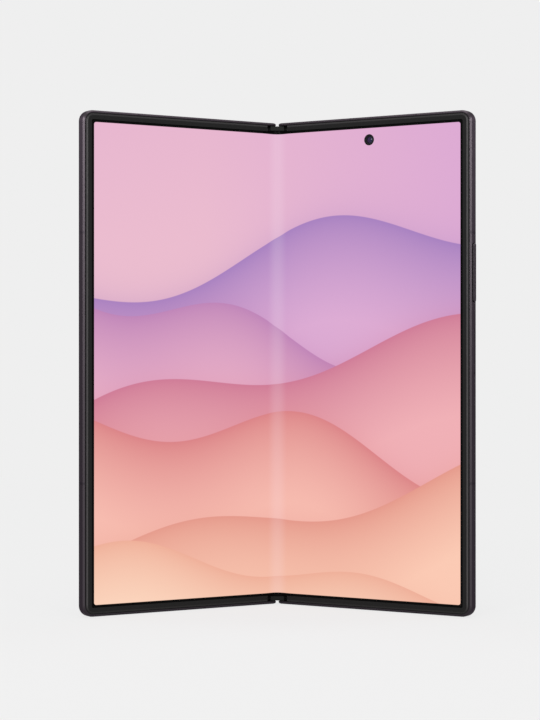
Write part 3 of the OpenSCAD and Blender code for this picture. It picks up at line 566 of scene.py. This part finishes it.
display = {
    "drop": 0.2,             # depth under the metal face
    "thick": 0.5,
    "inset": 2.55,           # from the outer edges of the half
    "corner": 0.85,
    "bondedAt": 6.0,         # the free stretch ends here
    "foldFlat": 1.9,         # handle of the fold's curve at its middle
    "foldHold": 2.6,         # and at the bonded edge
    "steps": 20,
    "punchAt": (35.0, 151.0),
    "punchRadius": 1.8,
    "borderSide": 3.84,      # the lit picture ends here, from the outer edges
    "borderEnds": 3.66,
    "litCorner": 0.75,
    "litEdge": 0.06,
    "unlitAt": (1.0, 1.0),   # outside the picture, for the back and the rims
    "cutWithin": 0.0005,     # points nearer to a cut than this lie on it
}


def foldCurve():
    # Points and lengths along the middle of the display's free stretch, in the right half
    toRow = halfToRow(1)
    edge = toRow @ Vector((display["bondedAt"], display["drop"] + display["thick"] / 2, 0)) / mm
    along = Vector((math.cos(restFold), -math.sin(restFold), 0))
    deep = Vector((0, edge.y + edge.x * math.tan(restFold), 0))
    points = interpolate_bezier(deep, deep + Vector((display["foldFlat"], 0, 0)),
                                edge - display["foldHold"] * along, edge, display["steps"] + 1)
    lengths = [0.0]
    for before, after in zip(points, points[1:]):
        lengths.append(lengths[-1] + (after - before).length)
    slopes = [Vector((1, 0, 0))]
    slopes += [(after - before).normalized() for before, after in zip(points, points[2:])]
    slopes.append(along)
    return points, lengths, slopes


foldPoints, foldLengths, foldSlopes = foldCurve()
litHalfWidth = foldLengths[-1] + half["width"] - display["borderSide"] - display["bondedAt"]
litHalfHeight = half["height"] / 2 - display["borderEnds"]
bondSlack = 0.0001           # points this close to the bonded stretch count as on it


def bent(across, depth):
    # Where a point of the flat display lies once it is folded: depth runs from its front
    off = depth - display["thick"] / 2
    if across >= foldLengths[-1] - bondSlack:
        base = foldPoints[-1] + (across - foldLengths[-1]) * foldSlopes[-1]
        slope = foldSlopes[-1]
    else:
        away = [abs(length - across) for length in foldLengths]
        step = away.index(min(away))
        base = foldPoints[step]
        slope = foldSlopes[step]
    return base + off * Vector((-slope.y, slope.x, 0))


# Colours of the picture, from the sky down to the nearest dune: crest and foot of each
picture = {
    "skyTop": tone(231, 182, 207),
    "skyLow": tone(240, 196, 206),
    "skyFar": tone(219, 168, 212),
    "skyFrom": 60.0,         # the sky changes from this height, over this length
    "skyOver": 98.0,
    "farSlope": 0.009,       # share of the far sky for each millimetre to the right, and in the middle
    "farMiddle": 0.25,
    "dunes": [
        {"height": 112, "slope": 0.12, "swell": 7.0, "length": 118, "phase": 0.6, "fade": 34,
         "crest": tone(166, 128, 192), "foot": tone(221, 172, 212)},
        {"height": 93, "slope": -0.10, "swell": 8.0, "length": 96, "phase": 2.6, "fade": 30,
         "crest": tone(190, 132, 184), "foot": tone(234, 178, 202)},
        {"height": 74, "slope": 0.16, "swell": 7.5, "length": 128, "phase": 4.4, "fade": 32,
         "crest": tone(206, 122, 150), "foot": tone(240, 176, 182)},
        {"height": 53, "slope": -0.14, "swell": 6.5, "length": 102, "phase": 0.9, "fade": 30,
         "crest": tone(218, 130, 134), "foot": tone(247, 188, 176)},
        {"height": 32, "slope": 0.13, "swell": 6.0, "length": 122, "phase": 3.3, "fade": 28,
         "crest": tone(228, 152, 138), "foot": tone(251, 202, 180)},
        {"height": 12, "slope": -0.06, "swell": 4.5, "length": 90, "phase": 5.5, "fade": 22,
         "crest": tone(238, 174, 152), "foot": tone(252, 214, 190)},
    ],
    "shade": 0.20,
    "shadeDistance": 5.0,
    # A painted highlight along the fold: its strength, its tone and its half width
    "foldHighlight": 0.10,          # how much lighter the picture shows along the fold
    "foldHighlightTone": tone(255, 244, 255),
    "foldHighlightWidth": 4.2,
}


def panelMask(make, inMillimetres, middle, halfSize, corner, edge):
    centred = make.vector("SUBTRACT", inMillimetres, i1=middle)
    return make.group(roundedPanel, Vector=centred, Half_width=halfSize[0], Half_height=halfSize[1],
                      Radius=corner, Edge=edge)["Mask"]


def displayMaterial():
    material, make, shader = newMaterial(
        "display_panel", {"Roughness": 0.3, "Specular IOR Level": 0.03, "Emission Strength": 1.0,
                          "Base Color": (0.002, 0.002, 0.002, 1)})
    inMillimetres = make.vector("SCALE", flatPlace(make), Scale=1 / mm)
    across = make.add("ShaderNodeSeparateXYZ", Vector=inMillimetres).outputs
    above = make.math("SUBTRACT", across[1], picture["skyFrom"])
    up = make.math("DIVIDE", above, picture["skyOver"], clamp=True)
    color = make.mixColor(up, picture["skyLow"], picture["skyTop"])
    right = make.math("MULTIPLY_ADD", across[0], picture["farSlope"], picture["farMiddle"], clamp=True)
    color = make.mixColor(right, color, picture["skyFar"])
    for layer in picture["dunes"]:
        crest = make.group(dune, Vector=inMillimetres, Height=layer["height"], Slope=layer["slope"],
                           Swell=layer["swell"], Length=layer["length"], Phase=layer["phase"],
                           Shade_distance=picture["shadeDistance"], Fade_distance=layer["fade"])
        shadow = make.math("MULTIPLY", crest["Shade"], picture["shade"])
        behind = make.mixColor(shadow, color, layer["crest"])
        body = make.mixColor(crest["Depth"], layer["crest"], layer["foot"])
        color = make.mixColor(crest["Mask"], behind, body)
    # The painted highlight along the fold, strongest at its middle
    fromFold = make.math("DIVIDE", make.math("ABSOLUTE", across[0]), picture["foldHighlightWidth"], clamp=True)
    highlightBand = make.math("POWER", make.math("SUBTRACT", 1.0, make.math("MULTIPLY", fromFold, fromFold)), 2.0)
    color = make.mixColor(make.math("MULTIPLY", highlightBand, picture["foldHighlight"]), color, picture["foldHighlightTone"])
    lit = panelMask(make, inMillimetres, (0, half["height"] / 2, 0), (litHalfWidth, litHalfHeight),
                    display["litCorner"], display["litEdge"])
    make.join(make.mixColor(lit, (0, 0, 0, 1), color), shader, "Emission Color")
    return material


def buildDisplay(name, side, replaced):
    bm = bmesh.new()
    inset = display["inset"]
    flatWidth = foldLengths[-1] + half["width"] - inset - display["bondedAt"]
    flatHeight = half["height"] - 2 * inset
    middle = (flatWidth / 2, 0, half["height"] / 2)
    outlinePlate(bm, flatWidth, flatHeight, display["corner"], middle, squareUpTo=flatWidth / 2)
    if side > 0:
        punchAcross = foldLengths[-1] + display["punchAt"][0] - display["bondedAt"]
        roundHole(bm, (punchAcross, display["punchAt"][1]), 0, display["punchRadius"])
    filled(bm)
    for station in foldLengths[1:]:
        bmesh.ops.bisect_plane(bm, geom=bm.verts[:] + bm.edges[:] + bm.faces[:],
                               dist=display["cutWithin"], plane_co=(station, 0, 0), plane_no=(1, 0, 0))
    thickened(bm, list(bm.faces), (0, display["thick"], 0))
    flat = bm.loops.layers.uv.new("flat")
    for face in bm.faces:
        inFront = all(vert.co.y < display["thick"] / 2 for vert in face.verts)
        for loop in face.loops:
            place = (side * loop.vert.co.x * mm, loop.vert.co.z * mm)
            loop[flat].uv = place if inFront else display["unlitAt"]
    for vert in bm.verts:
        folded = bent(vert.co.x, vert.co.y)
        vert.co = (side * folded.x * mm, folded.y * mm, vert.co.z * mm)
    piece = newPiece(name, bm, displayPanel, replaced=replaced)
    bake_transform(piece)


displayPanel = displayMaterial()
buildDisplay("displayLeft", -1, ["left_display", "display_fold"])
buildDisplay("displayRight", 1, ["right_display"])
print("display built")


# The glass of both backs, with softened edges

backGlass = {
    "thick": 0.6,
    "from": 2.78,            # its edge beside the hinge
    "inset": 1.38,
    "corner": 2.02,
    "rim": 0.26,
    "rimSteps": 4,
}
island = {
    "at": (55.6, 121.9),
    "width": 19.0,
    "length": 60.0,
    "height": 1.3,
    "rim": 0.45,
    "rimSteps": 5,
    "step": 1.0,             # how far it overlaps the edge of the opening in the glass
    "gap": 0.08,
    "lenses": [102.4, 120.4, 138.4],
    "lensHole": 4.85,
    "flashAt": 147.9,
    "flashHole": 1.65,
}
slotSlack = 0.001            # keeps the two rounded ends of a slot apart


def islandOutline(bm, depth, less):
    # The island's outline, drawn in by some millimetres
    width = island["width"] - 2 * less
    outlinePlate(bm, width, island["length"] - 2 * less, width / 2 - slotSlack,
                 (island["at"][0], depth, island["at"][1]), segments=24)


def awayFromIsland(place):
    return math.dist((place.x, place.z), island["at"]) >= island["length"] / 2


def buildGlass(name, side, node, withIsland):
    # The node, its slot and its finish have one name
    bm = bmesh.new()
    width = half["width"] - backGlass["inset"] - backGlass["from"]
    length = half["height"] - 2 * backGlass["inset"]
    inner = half["thick"] - backGlass["thick"]
    outlinePlate(bm, width, length, backGlass["corner"],
                 (backGlass["from"] + width / 2, inner, half["height"] / 2), squareUpTo=half["width"] / 2)
    if withIsland:
        islandOutline(bm, inner, island["step"])
    thickened(bm, filled(bm), (0, backGlass["thick"], 0))
    rim = rimAt(bm, half["thick"], awayFromIsland if withIsland else None)
    roundEdges(bm, rim, backGlass["rim"], backGlass["rimSteps"])
    halfPiece(name, bm, node, side, [node])


buildGlass("backGlass", 1, "back_glass", True)
buildGlass("coverGlass", -1, "cover_glass", False)

coverPanel = {
    "from": 5.05,
    "to": 69.35,
    "inset": 2.25,
    "corner": 1.2,
    "front": 3.1,            # depths of its two faces
    "back": 3.55,
    "cameraAt": (36.0, 150.0),
    "cameraHole": 1.65,
    "printSide": 1.6,        # width of the black print round the panel
    "litCorner": 1.2,
    "litEdge": 0.1,
    "printTone": tone(9, 9, 10),
    "panelTone": tone(27, 27, 32),
    "rough": 0.22, "grain": 0.0001, "patch": 0.02, "tone": 0.08, "uneven": 0.04,
}


def coverPanelMaterial():
    # A dark panel, switched off, inside its printed border
    material, make, shader = newMaterial("cover_panel", {"Specular IOR Level": 0.4})
    place = flatPlace(make)
    inMillimetres = make.vector("SCALE", place, Scale=1 / mm)
    middle = ((coverPanel["from"] + coverPanel["to"]) / 2, half["height"] / 2, 0)
    reach = (coverPanel["to"] - coverPanel["from"]) / 2 - coverPanel["printSide"]
    rise = half["height"] / 2 - coverPanel["inset"] - coverPanel["printSide"]
    panel = panelMask(make, inMillimetres, middle, (reach, rise), coverPanel["litCorner"],
                      coverPanel["litEdge"])
    color = make.mixColor(panel, coverPanel["printTone"], coverPanel["panelTone"])
    grain = addGrain(make, shader, place, color, coverPanel["rough"], coverPanel)
    make.join(grain["Color"], shader, "Base Color")
    return material


def flatMap(bm, axes):
    # Keeps a flat piece's own coordinates, in metres, for patterns
    flat = bm.loops.layers.uv.new("flat")
    for face in bm.faces:
        for loop in face.loops:
            loop[flat].uv = (loop.vert.co[axes[0]] * mm, loop.vert.co[axes[1]] * mm)


def buildCoverPanel():
    bm = bmesh.new()
    width = coverPanel["to"] - coverPanel["from"]
    length = half["height"] - 2 * coverPanel["inset"]
    outlinePlate(bm, width, length, coverPanel["corner"],
                 (coverPanel["from"] + width / 2, coverPanel["front"], half["height"] / 2))
    roundHole(bm, coverPanel["cameraAt"], coverPanel["front"], coverPanel["cameraHole"])
    thickened(bm, filled(bm), (0, coverPanel["back"] - coverPanel["front"], 0))
    flatMap(bm, (0, 2))
    halfPiece("coverPanel", bm, "cover_panel", -1, ["cover_display"])


materials["cover_panel"] = coverPanelMaterial()
buildCoverPanel()
print("glass and cover panel built")

# The camera island, its rings, glasses and optics

ring = {
    "outer": 7.0,
    "inner": 5.9,
    "height": 1.1,
    "chamfer": 0.3,
    # Points of the softened edges, as shares of the chamfer: away from the wall and down
    "innerEdge": [(0, 0.5), (0.15, 0.12), (0.5, 0)],
    "outerEdge": [(1.2, 0), (0.9, 0.08), (0.1, 0.88), (0, 1.2)],
    "around": 96,
    "glass": 0.5,            # thickness of the lens glass
    "glassDrop": 0.15,       # its depth under the top of the ring
    "glassPlay": 0.02,
    "glassSoft": 0.06,
    "glassClear": 0.05,      # from the glass down to the camera
}
islandTop = half["thick"] + island["height"]
ringTop = islandTop + ring["height"]
lensCentres = [(island["at"][0], height) for height in island["lenses"]]
flashCentre = (island["at"][0], island["flashAt"])


def onIslandRim(place):
    # On the island's outline, and not on the rim of one of its holes
    holes = lensCentres + [flashCentre]
    return (abs(place.x - island["at"][0]) > ring["outer"]
            or all(math.dist((place.x, place.z), centre) > ring["outer"] for centre in holes))


def buildIsland():
    bm = bmesh.new()
    layers = [(0.0, half["thick"], islandTop),
              (island["step"] + island["gap"], half["thick"] - backGlass["thick"], half["thick"])]
    for less, low, high in layers:
        part = bmesh.new()
        islandOutline(part, low, less)
        for centre in lensCentres:
            roundHole(part, centre, low, island["lensHole"])
        roundHole(part, flashCentre, low, island["flashHole"], 32)
        thickened(part, filled(part), (0, high - low, 0))
        if high == islandTop:
            roundEdges(part, rimAt(part, high, onIslandRim), island["rim"], island["rimSteps"])
        mesh = bpy.data.meshes.new("islandLayer")
        part.to_mesh(mesh)
        part.free()
        bm.from_mesh(mesh)
        bpy.data.meshes.remove(mesh)
    halfPiece("cameraIsland", bm, "island_metal", 1, ["camera_island"])


def buildRings():
    bm = bmesh.new()
    outer, inner = ring["outer"], ring["inner"]
    cut = ring["chamfer"]
    profile = [(inner, islandTop)]
    profile += [(inner + cut * across, ringTop - cut * down) for across, down in ring["innerEdge"]]
    profile += [(outer - cut * across, ringTop - cut * down) for across, down in ring["outerEdge"]]
    profile += [(outer, islandTop), (inner, islandTop)]
    for centre in lensCentres:
        lathe(bm, profile, centre, ring["around"])
    halfPiece("lensRings", bm, "ring_metal", 1, ["lens_rings"], sharpOver=50)


def buildLensGlasses():
    bm = bmesh.new()
    radius, soft = ring["inner"] - ring["glassPlay"], ring["glassSoft"]
    top = ringTop - ring["glassDrop"]
    low = top - ring["glass"]
    profile = [(0, low), (radius, low), (radius, top - soft), (radius - soft, top), (0, top)]
    for centre in lensCentres:
        lathe(bm, profile, centre, ring["around"])
    halfPiece("lensGlasses", bm, "lens_glass", 1, ["lens_glasses"])


# Each camera: the radius of its barrel, where its front lies, and which way it looks (1 to the back)
cameras = {
    "rear": {
        "radius": 4.8, "front": ringTop - ring["glassDrop"] - ring["glass"] - ring["glassClear"],
        "looks": 1, "flange": 5.84, "steps": 5, "pupil": 2.0,
        "base": 12.0, "baseCorner": 0.8, "baseFrom": 1.45, "baseTo": 2.85},
    "inner": {
        "radius": 1.7, "front": 0.32, "looks": -1, "flange": None, "steps": 3, "pupil": 0.72,
        "base": 6.0, "baseCorner": 0.6, "baseFrom": 1.45, "baseTo": 2.75},
    "cover": {
        "radius": 1.6, "front": 3.53, "looks": 1, "flange": None, "steps": 3, "pupil": 0.68,
        "base": 5.2, "baseCorner": 0.4, "baseFrom": 1.45, "baseTo": 2.4},
}
barrel = {
    "mouth": 0.86,           # shares of the barrel's radius
    "lip": 0.92,
    "stepDown": 0.085,
    "ledge": 0.75,           # share of each step that is level
    "sunk": 0.05,            # how far the barrel reaches into its base
    "flangeLift": 0.02,      # the flange lies this far above the island
    "around": 72,
}
optics = {
    "radius": 1.35,          # shares of the pupil
    "bulge": 0.3,
    "thick": 0.1,
}


def barrelProfile(look):
    # From the wall at the base to the front, then down baffled steps to the pupil
    radius, front, looks = look["radius"], look["front"], look["looks"]
    seat = look["baseTo"] - barrel["sunk"] if looks > 0 else look["baseFrom"] + barrel["sunk"]
    stepIn = (radius * barrel["mouth"] - look["pupil"]) / look["steps"]
    stepDown = radius * barrel["stepDown"]
    profile = [(radius, seat)]
    if look["flange"]:
        lift = islandTop + barrel["flangeLift"]
        profile += [(radius, lift), (look["flange"], lift), (look["flange"], front)]
    else:
        profile += [(radius, front)]
    profile += [(radius * barrel["lip"], front)]
    inside, depth = radius * barrel["mouth"], front
    for _ in range(look["steps"]):
        depth -= looks * stepDown
        profile += [(inside, depth), (inside - stepIn * barrel["ledge"], depth)]
        inside -= stepIn
    floor = depth - looks * stepDown
    profile += [(look["pupil"], floor), (0, floor)]
    return profile, depth


def buildCamera(name, look, side, centres, replaced):
    barrelMesh = bmesh.new()
    opticsMesh = bmesh.new()
    profile, lensDepth = barrelProfile(look)
    glassRadius = look["pupil"] * optics["radius"]
    front = dome(glassRadius, look["pupil"] * optics["bulge"])
    lowest = front[-1][1]
    lens = [(out, lensDepth + look["looks"] * (height - lowest)) for out, height in front]
    back = lensDepth - look["looks"] * optics["thick"]
    lens += [(glassRadius, back), (0, back)]
    for centre in centres:
        lathe(barrelMesh, profile, centre, barrel["around"])
        lathe(opticsMesh, lens, centre)
        base = outlinePlate(barrelMesh, look["base"], look["base"], look["baseCorner"],
                            (centre[0], look["baseFrom"], centre[1]))
        thickened(barrelMesh, [base], (0, look["baseTo"] - look["baseFrom"], 0))
    halfPiece(name + "Barrel", barrelMesh, "camera_body", side, replaced, sharpOver=30)
    halfPiece(name + "Optics", opticsMesh, "coated_lens", side, sharpOver=50)


flash = {
    "radius": 1.6,
    "drop": 0.05,            # its top lies this far under the island's
    "rings": 7,
    "ringsTo": 1.5,
    "groove": (0.04, 0.06),  # each ring falls in and down by this,
    "rise": (0.16, 0.01),    # and rises to this
    "middleDrop": 0.02,
}


def buildFlash():
    bm = bmesh.new()
    top = islandTop - flash["drop"]
    profile = [(flash["radius"], half["thick"]), (flash["radius"], top)]
    for step in range(flash["rings"]):
        out = flash["ringsTo"] * (1 - step / flash["rings"])
        profile += [(out, top)]
        profile += [(out - across, top - down) for across, down in (flash["groove"], flash["rise"])]
    profile += [(0, top - flash["middleDrop"])]
    lathe(bm, profile, flashCentre)
    halfPiece("flashLens", bm, "flash_resin", 1, ["flash_lens"], sharpOver=20)


buildIsland()
buildRings()
buildLensGlasses()
buildCamera("rearCameras", cameras["rear"], 1, lensCentres, ["camera_modules"])
buildCamera("innerCamera", cameras["inner"], 1, [display["punchAt"]], ["inner_camera"])
buildCamera("coverCamera", cameras["cover"], -1, [coverPanel["cameraAt"]], ["cover_camera"])
buildFlash()
print("cameras built")

# Small parts in the lower and upper edges

edgeParts = {
    "depth": 2.2,            # middle of the sound slots
    "slotPitch": 2.1,
    "slot": (1.4, 0.8),
    "meshIn": 0.5,           # depth of the mesh in its slot
    "meshThick": 0.06,
    "meshPlay": 0.02,
    "loudspeakerFrom": 55.4,
    "earpieceFrom": 31.8,
    "slots": 5,
    "microphoneAt": 24.0,
    "microphone": 0.8,
    "portAt": (36.0, 2.145),
    "tongue": 0.7,
    "contacts": 12,
    "contactPitch": 0.5,
    "contactSize": (0.26, 3.6),
    "contactThick": 0.03,
    "contactCorner": 0.08,
    "contactFrom": 2.0,
}


def buildDustMesh(name, side, places, height):
    bm = bmesh.new()
    play = edgeParts["meshPlay"]
    for across, width, depth in places:
        plate = outlinePlate(bm, width - play, depth - play, (depth - play) / 2 - slotSlack,
                             (across, edgeParts["depth"], height), faces="top")
        thickened(bm, [plate], (0, 0, edgeParts["meshThick"]))
    flatMap(bm, (0, 1))
    halfPiece(name, bm, "dust_mesh", side)


def slotRow(first):
    pitch = edgeParts["slotPitch"]
    return [(first + pitch * step, *edgeParts["slot"]) for step in range(edgeParts["slots"])]


def buildContacts():
    bm = bmesh.new()
    across, depth = edgeParts["portAt"]
    width, length = edgeParts["contactSize"]
    height = edgeParts["contactFrom"] + length / 2
    for face in (-1, 1):
        for step in range(edgeParts["contacts"]):
            place = across + (step - (edgeParts["contacts"] - 1) / 2) * edgeParts["contactPitch"]
            strip = outlinePlate(bm, width, length, edgeParts["contactCorner"],
                                 (place, depth + face * edgeParts["tongue"] / 2, height), segments=3)
            thickened(bm, [strip], (0, face * edgeParts["contactThick"], 0))
    halfPiece("portContacts", bm, "contact_gold", 1)


microphone = (edgeParts["microphoneAt"], edgeParts["microphone"], edgeParts["microphone"])
buildDustMesh("loudspeakerMesh", 1, slotRow(edgeParts["loudspeakerFrom"]) + [microphone],
              edgeParts["meshIn"])
buildDustMesh("earpieceMesh", -1, slotRow(edgeParts["earpieceFrom"]),
              half["height"] - edgeParts["meshIn"] - edgeParts["meshThick"])
buildContacts()
print("edge parts built")

# CAD nodes whose shape is right keep it, and take the finish of their slot
# The frames, bezels, antenna breaks and keys take instead a material with painted highlight and shade on its
# edges
ownFinish = {
    "left_frame": "left_metal",
    "right_frame": "right_metal",
    "left_bezel": "left_bezel",
    "right_bezel": "right_bezel",
    "left_antenna_breaks": "left_break",
    "right_antenna_breaks": "right_break",
    "volume_key": "key_metal",
    "power_key": "key_metal",
    "spine_end_caps": "cap_metal",
}
for name, node in nodes.items():
    if node.hide_render:
        continue
    slotName = node.data.materials[0].name.split(".")[0]
    material = materials[ownFinish.get(name, slotName)]
    node.data.materials.clear()
    node.data.materials.append(material)
print("CAD nodes finished")

stageLook = {
    "background": tone(239, 239, 239),
    "floorRadius": 3.0,
    "floorSides": 96,
    "floorHeight": -0.0001,  # just under the phone, so that no faces lie in one plane
    "clearFrom": 0.25,       # the floor's shading fades out between these distances
    "clearTo": 0.8,
    "shadowShare": 0.12,
    "diffuse": 0.8,
    "ambient": 0.55,
}


def inView(make):
    # 1 where the camera looks, also in a reflection or through glass, and 0 for the light itself
    rays = make.add("ShaderNodeLightPath").outputs
    return make.math("MAXIMUM", rays["Is Camera Ray"],
                     make.math("MAXIMUM", rays["Is Glossy Ray"], rays["Is Transmission Ray"]))


def buildStage():
    world = bpy.data.worlds.new("studio")
    scene.world = world
    world.use_nodes = True
    make = Nodes(world.node_tree)
    background = world.node_tree.nodes["Background"]
    ambient = stageLook["ambient"]
    color = make.mixColor(inView(make), (ambient, ambient, ambient, 1), stageLook["background"])
    make.join(color, background, "Color")
    background.inputs["Strength"].default_value = 1.0

    bm = bmesh.new()
    bmesh.ops.create_circle(bm, cap_ends=True, segments=stageLook["floorSides"],
                            radius=stageLook["floorRadius"])
    mesh = bpy.data.meshes.new("floor")
    bm.to_mesh(mesh)
    bm.free()
    floor = bpy.data.objects.new("floor", mesh)
    floor.location = (0, 0, stageLook["floorHeight"])
    scene.collection.objects.link(floor)
    material, make, shader = newMaterial("floor", {})
    make.tree.nodes.remove(shader)
    place = make.add("ShaderNodeTexCoord").outputs["Object"]
    distance = make.vector("LENGTH", place, "Value")
    near = make.add("ShaderNodeMapRange", {"interpolation_type": "SMOOTHSTEP"}, Value=distance,
                    From_Min=stageLook["clearFrom"], From_Max=stageLook["clearTo"],
                    To_Min=stageLook["shadowShare"], To_Max=0.0).outputs["Result"]
    glow = make.add("ShaderNodeEmission", Color=stageLook["background"], Strength=1.0).outputs[0]
    diffuse = stageLook["diffuse"]
    paint = make.add("ShaderNodeBsdfDiffuse", Color=(diffuse, diffuse, diffuse, 1)).outputs[0]
    shown = make.add("ShaderNodeMixShader", Fac=near, i1=glow, i2=paint).outputs[0]
    mixed = make.add("ShaderNodeMixShader", Fac=inView(make), i1=paint, i2=shown).outputs[0]
    make.join(mixed, material.node_tree.nodes["Material Output"], "Surface")
    mesh.materials.append(material)


softLights = [
    {"name": "key", "at": (-0.25, -1.5, 0.75), "size": (1.1, 0.7), "power": 7.0},
    {"name": "leftStrip", "at": (-0.66, -1.25, 0.5), "size": (0.22, 0.5), "power": 4.0},
    {"name": "rightStrip", "at": (0.66, -1.25, 0.5), "size": (0.22, 0.5), "power": 4.0},
    {"name": "leftFill", "at": (-1.35, 0.55, 0.75), "size": (0.7, 1.0), "power": 6.0},
    {"name": "rightFill", "at": (1.35, 0.55, 0.75), "size": (0.7, 1.0), "power": 6.0},
    {"name": "top", "at": (0, 0.1, 1.5), "size": (1.0, 1.0), "power": 6.0},
]


def buildLights():
    middle = Vector((0, 0, half["height"] / 2 * mm))
    for look in softLights:
        light = bpy.data.lights.new(look["name"], "AREA")
        light.shape = "RECTANGLE"
        light.size = look["size"][0]
        light.size_y = look["size"][1]
        light.energy = look["power"]
        lamp = bpy.data.objects.new(look["name"], light)
        lamp.location = look["at"]
        lamp.rotation_euler = (middle - lamp.location).to_track_quat("-Z", "Y").to_euler()
        lamp.visible_camera = False
        scene.collection.objects.link(lamp)


# The photograph's view: level, from in front of the hinge
view = {
    "distance": 681.85,      # from the metal face of the flat phone
    "height": 79.2,
    "lens": 103.47,
    "shift": (-0.01011, 0.0048),
}


def aimCamera():
    camera = bpy.data.cameras.new("camera")
    camera.sensor_width = 36
    camera.lens = view["lens"]
    camera.shift_x, camera.shift_y = view["shift"]
    holder = bpy.data.objects.new("camera", camera)
    holder.location = (0, (pivotBack - half["pivotDeep"] - view["distance"]) * mm, view["height"] * mm)
    holder.rotation_euler = (math.radians(90), 0, 0)
    scene.collection.objects.link(holder)
    scene.camera = holder


buildStage()
buildLights()
aimCamera()
scene.view_settings.view_transform = "Standard"
print("stage, lights and camera set")
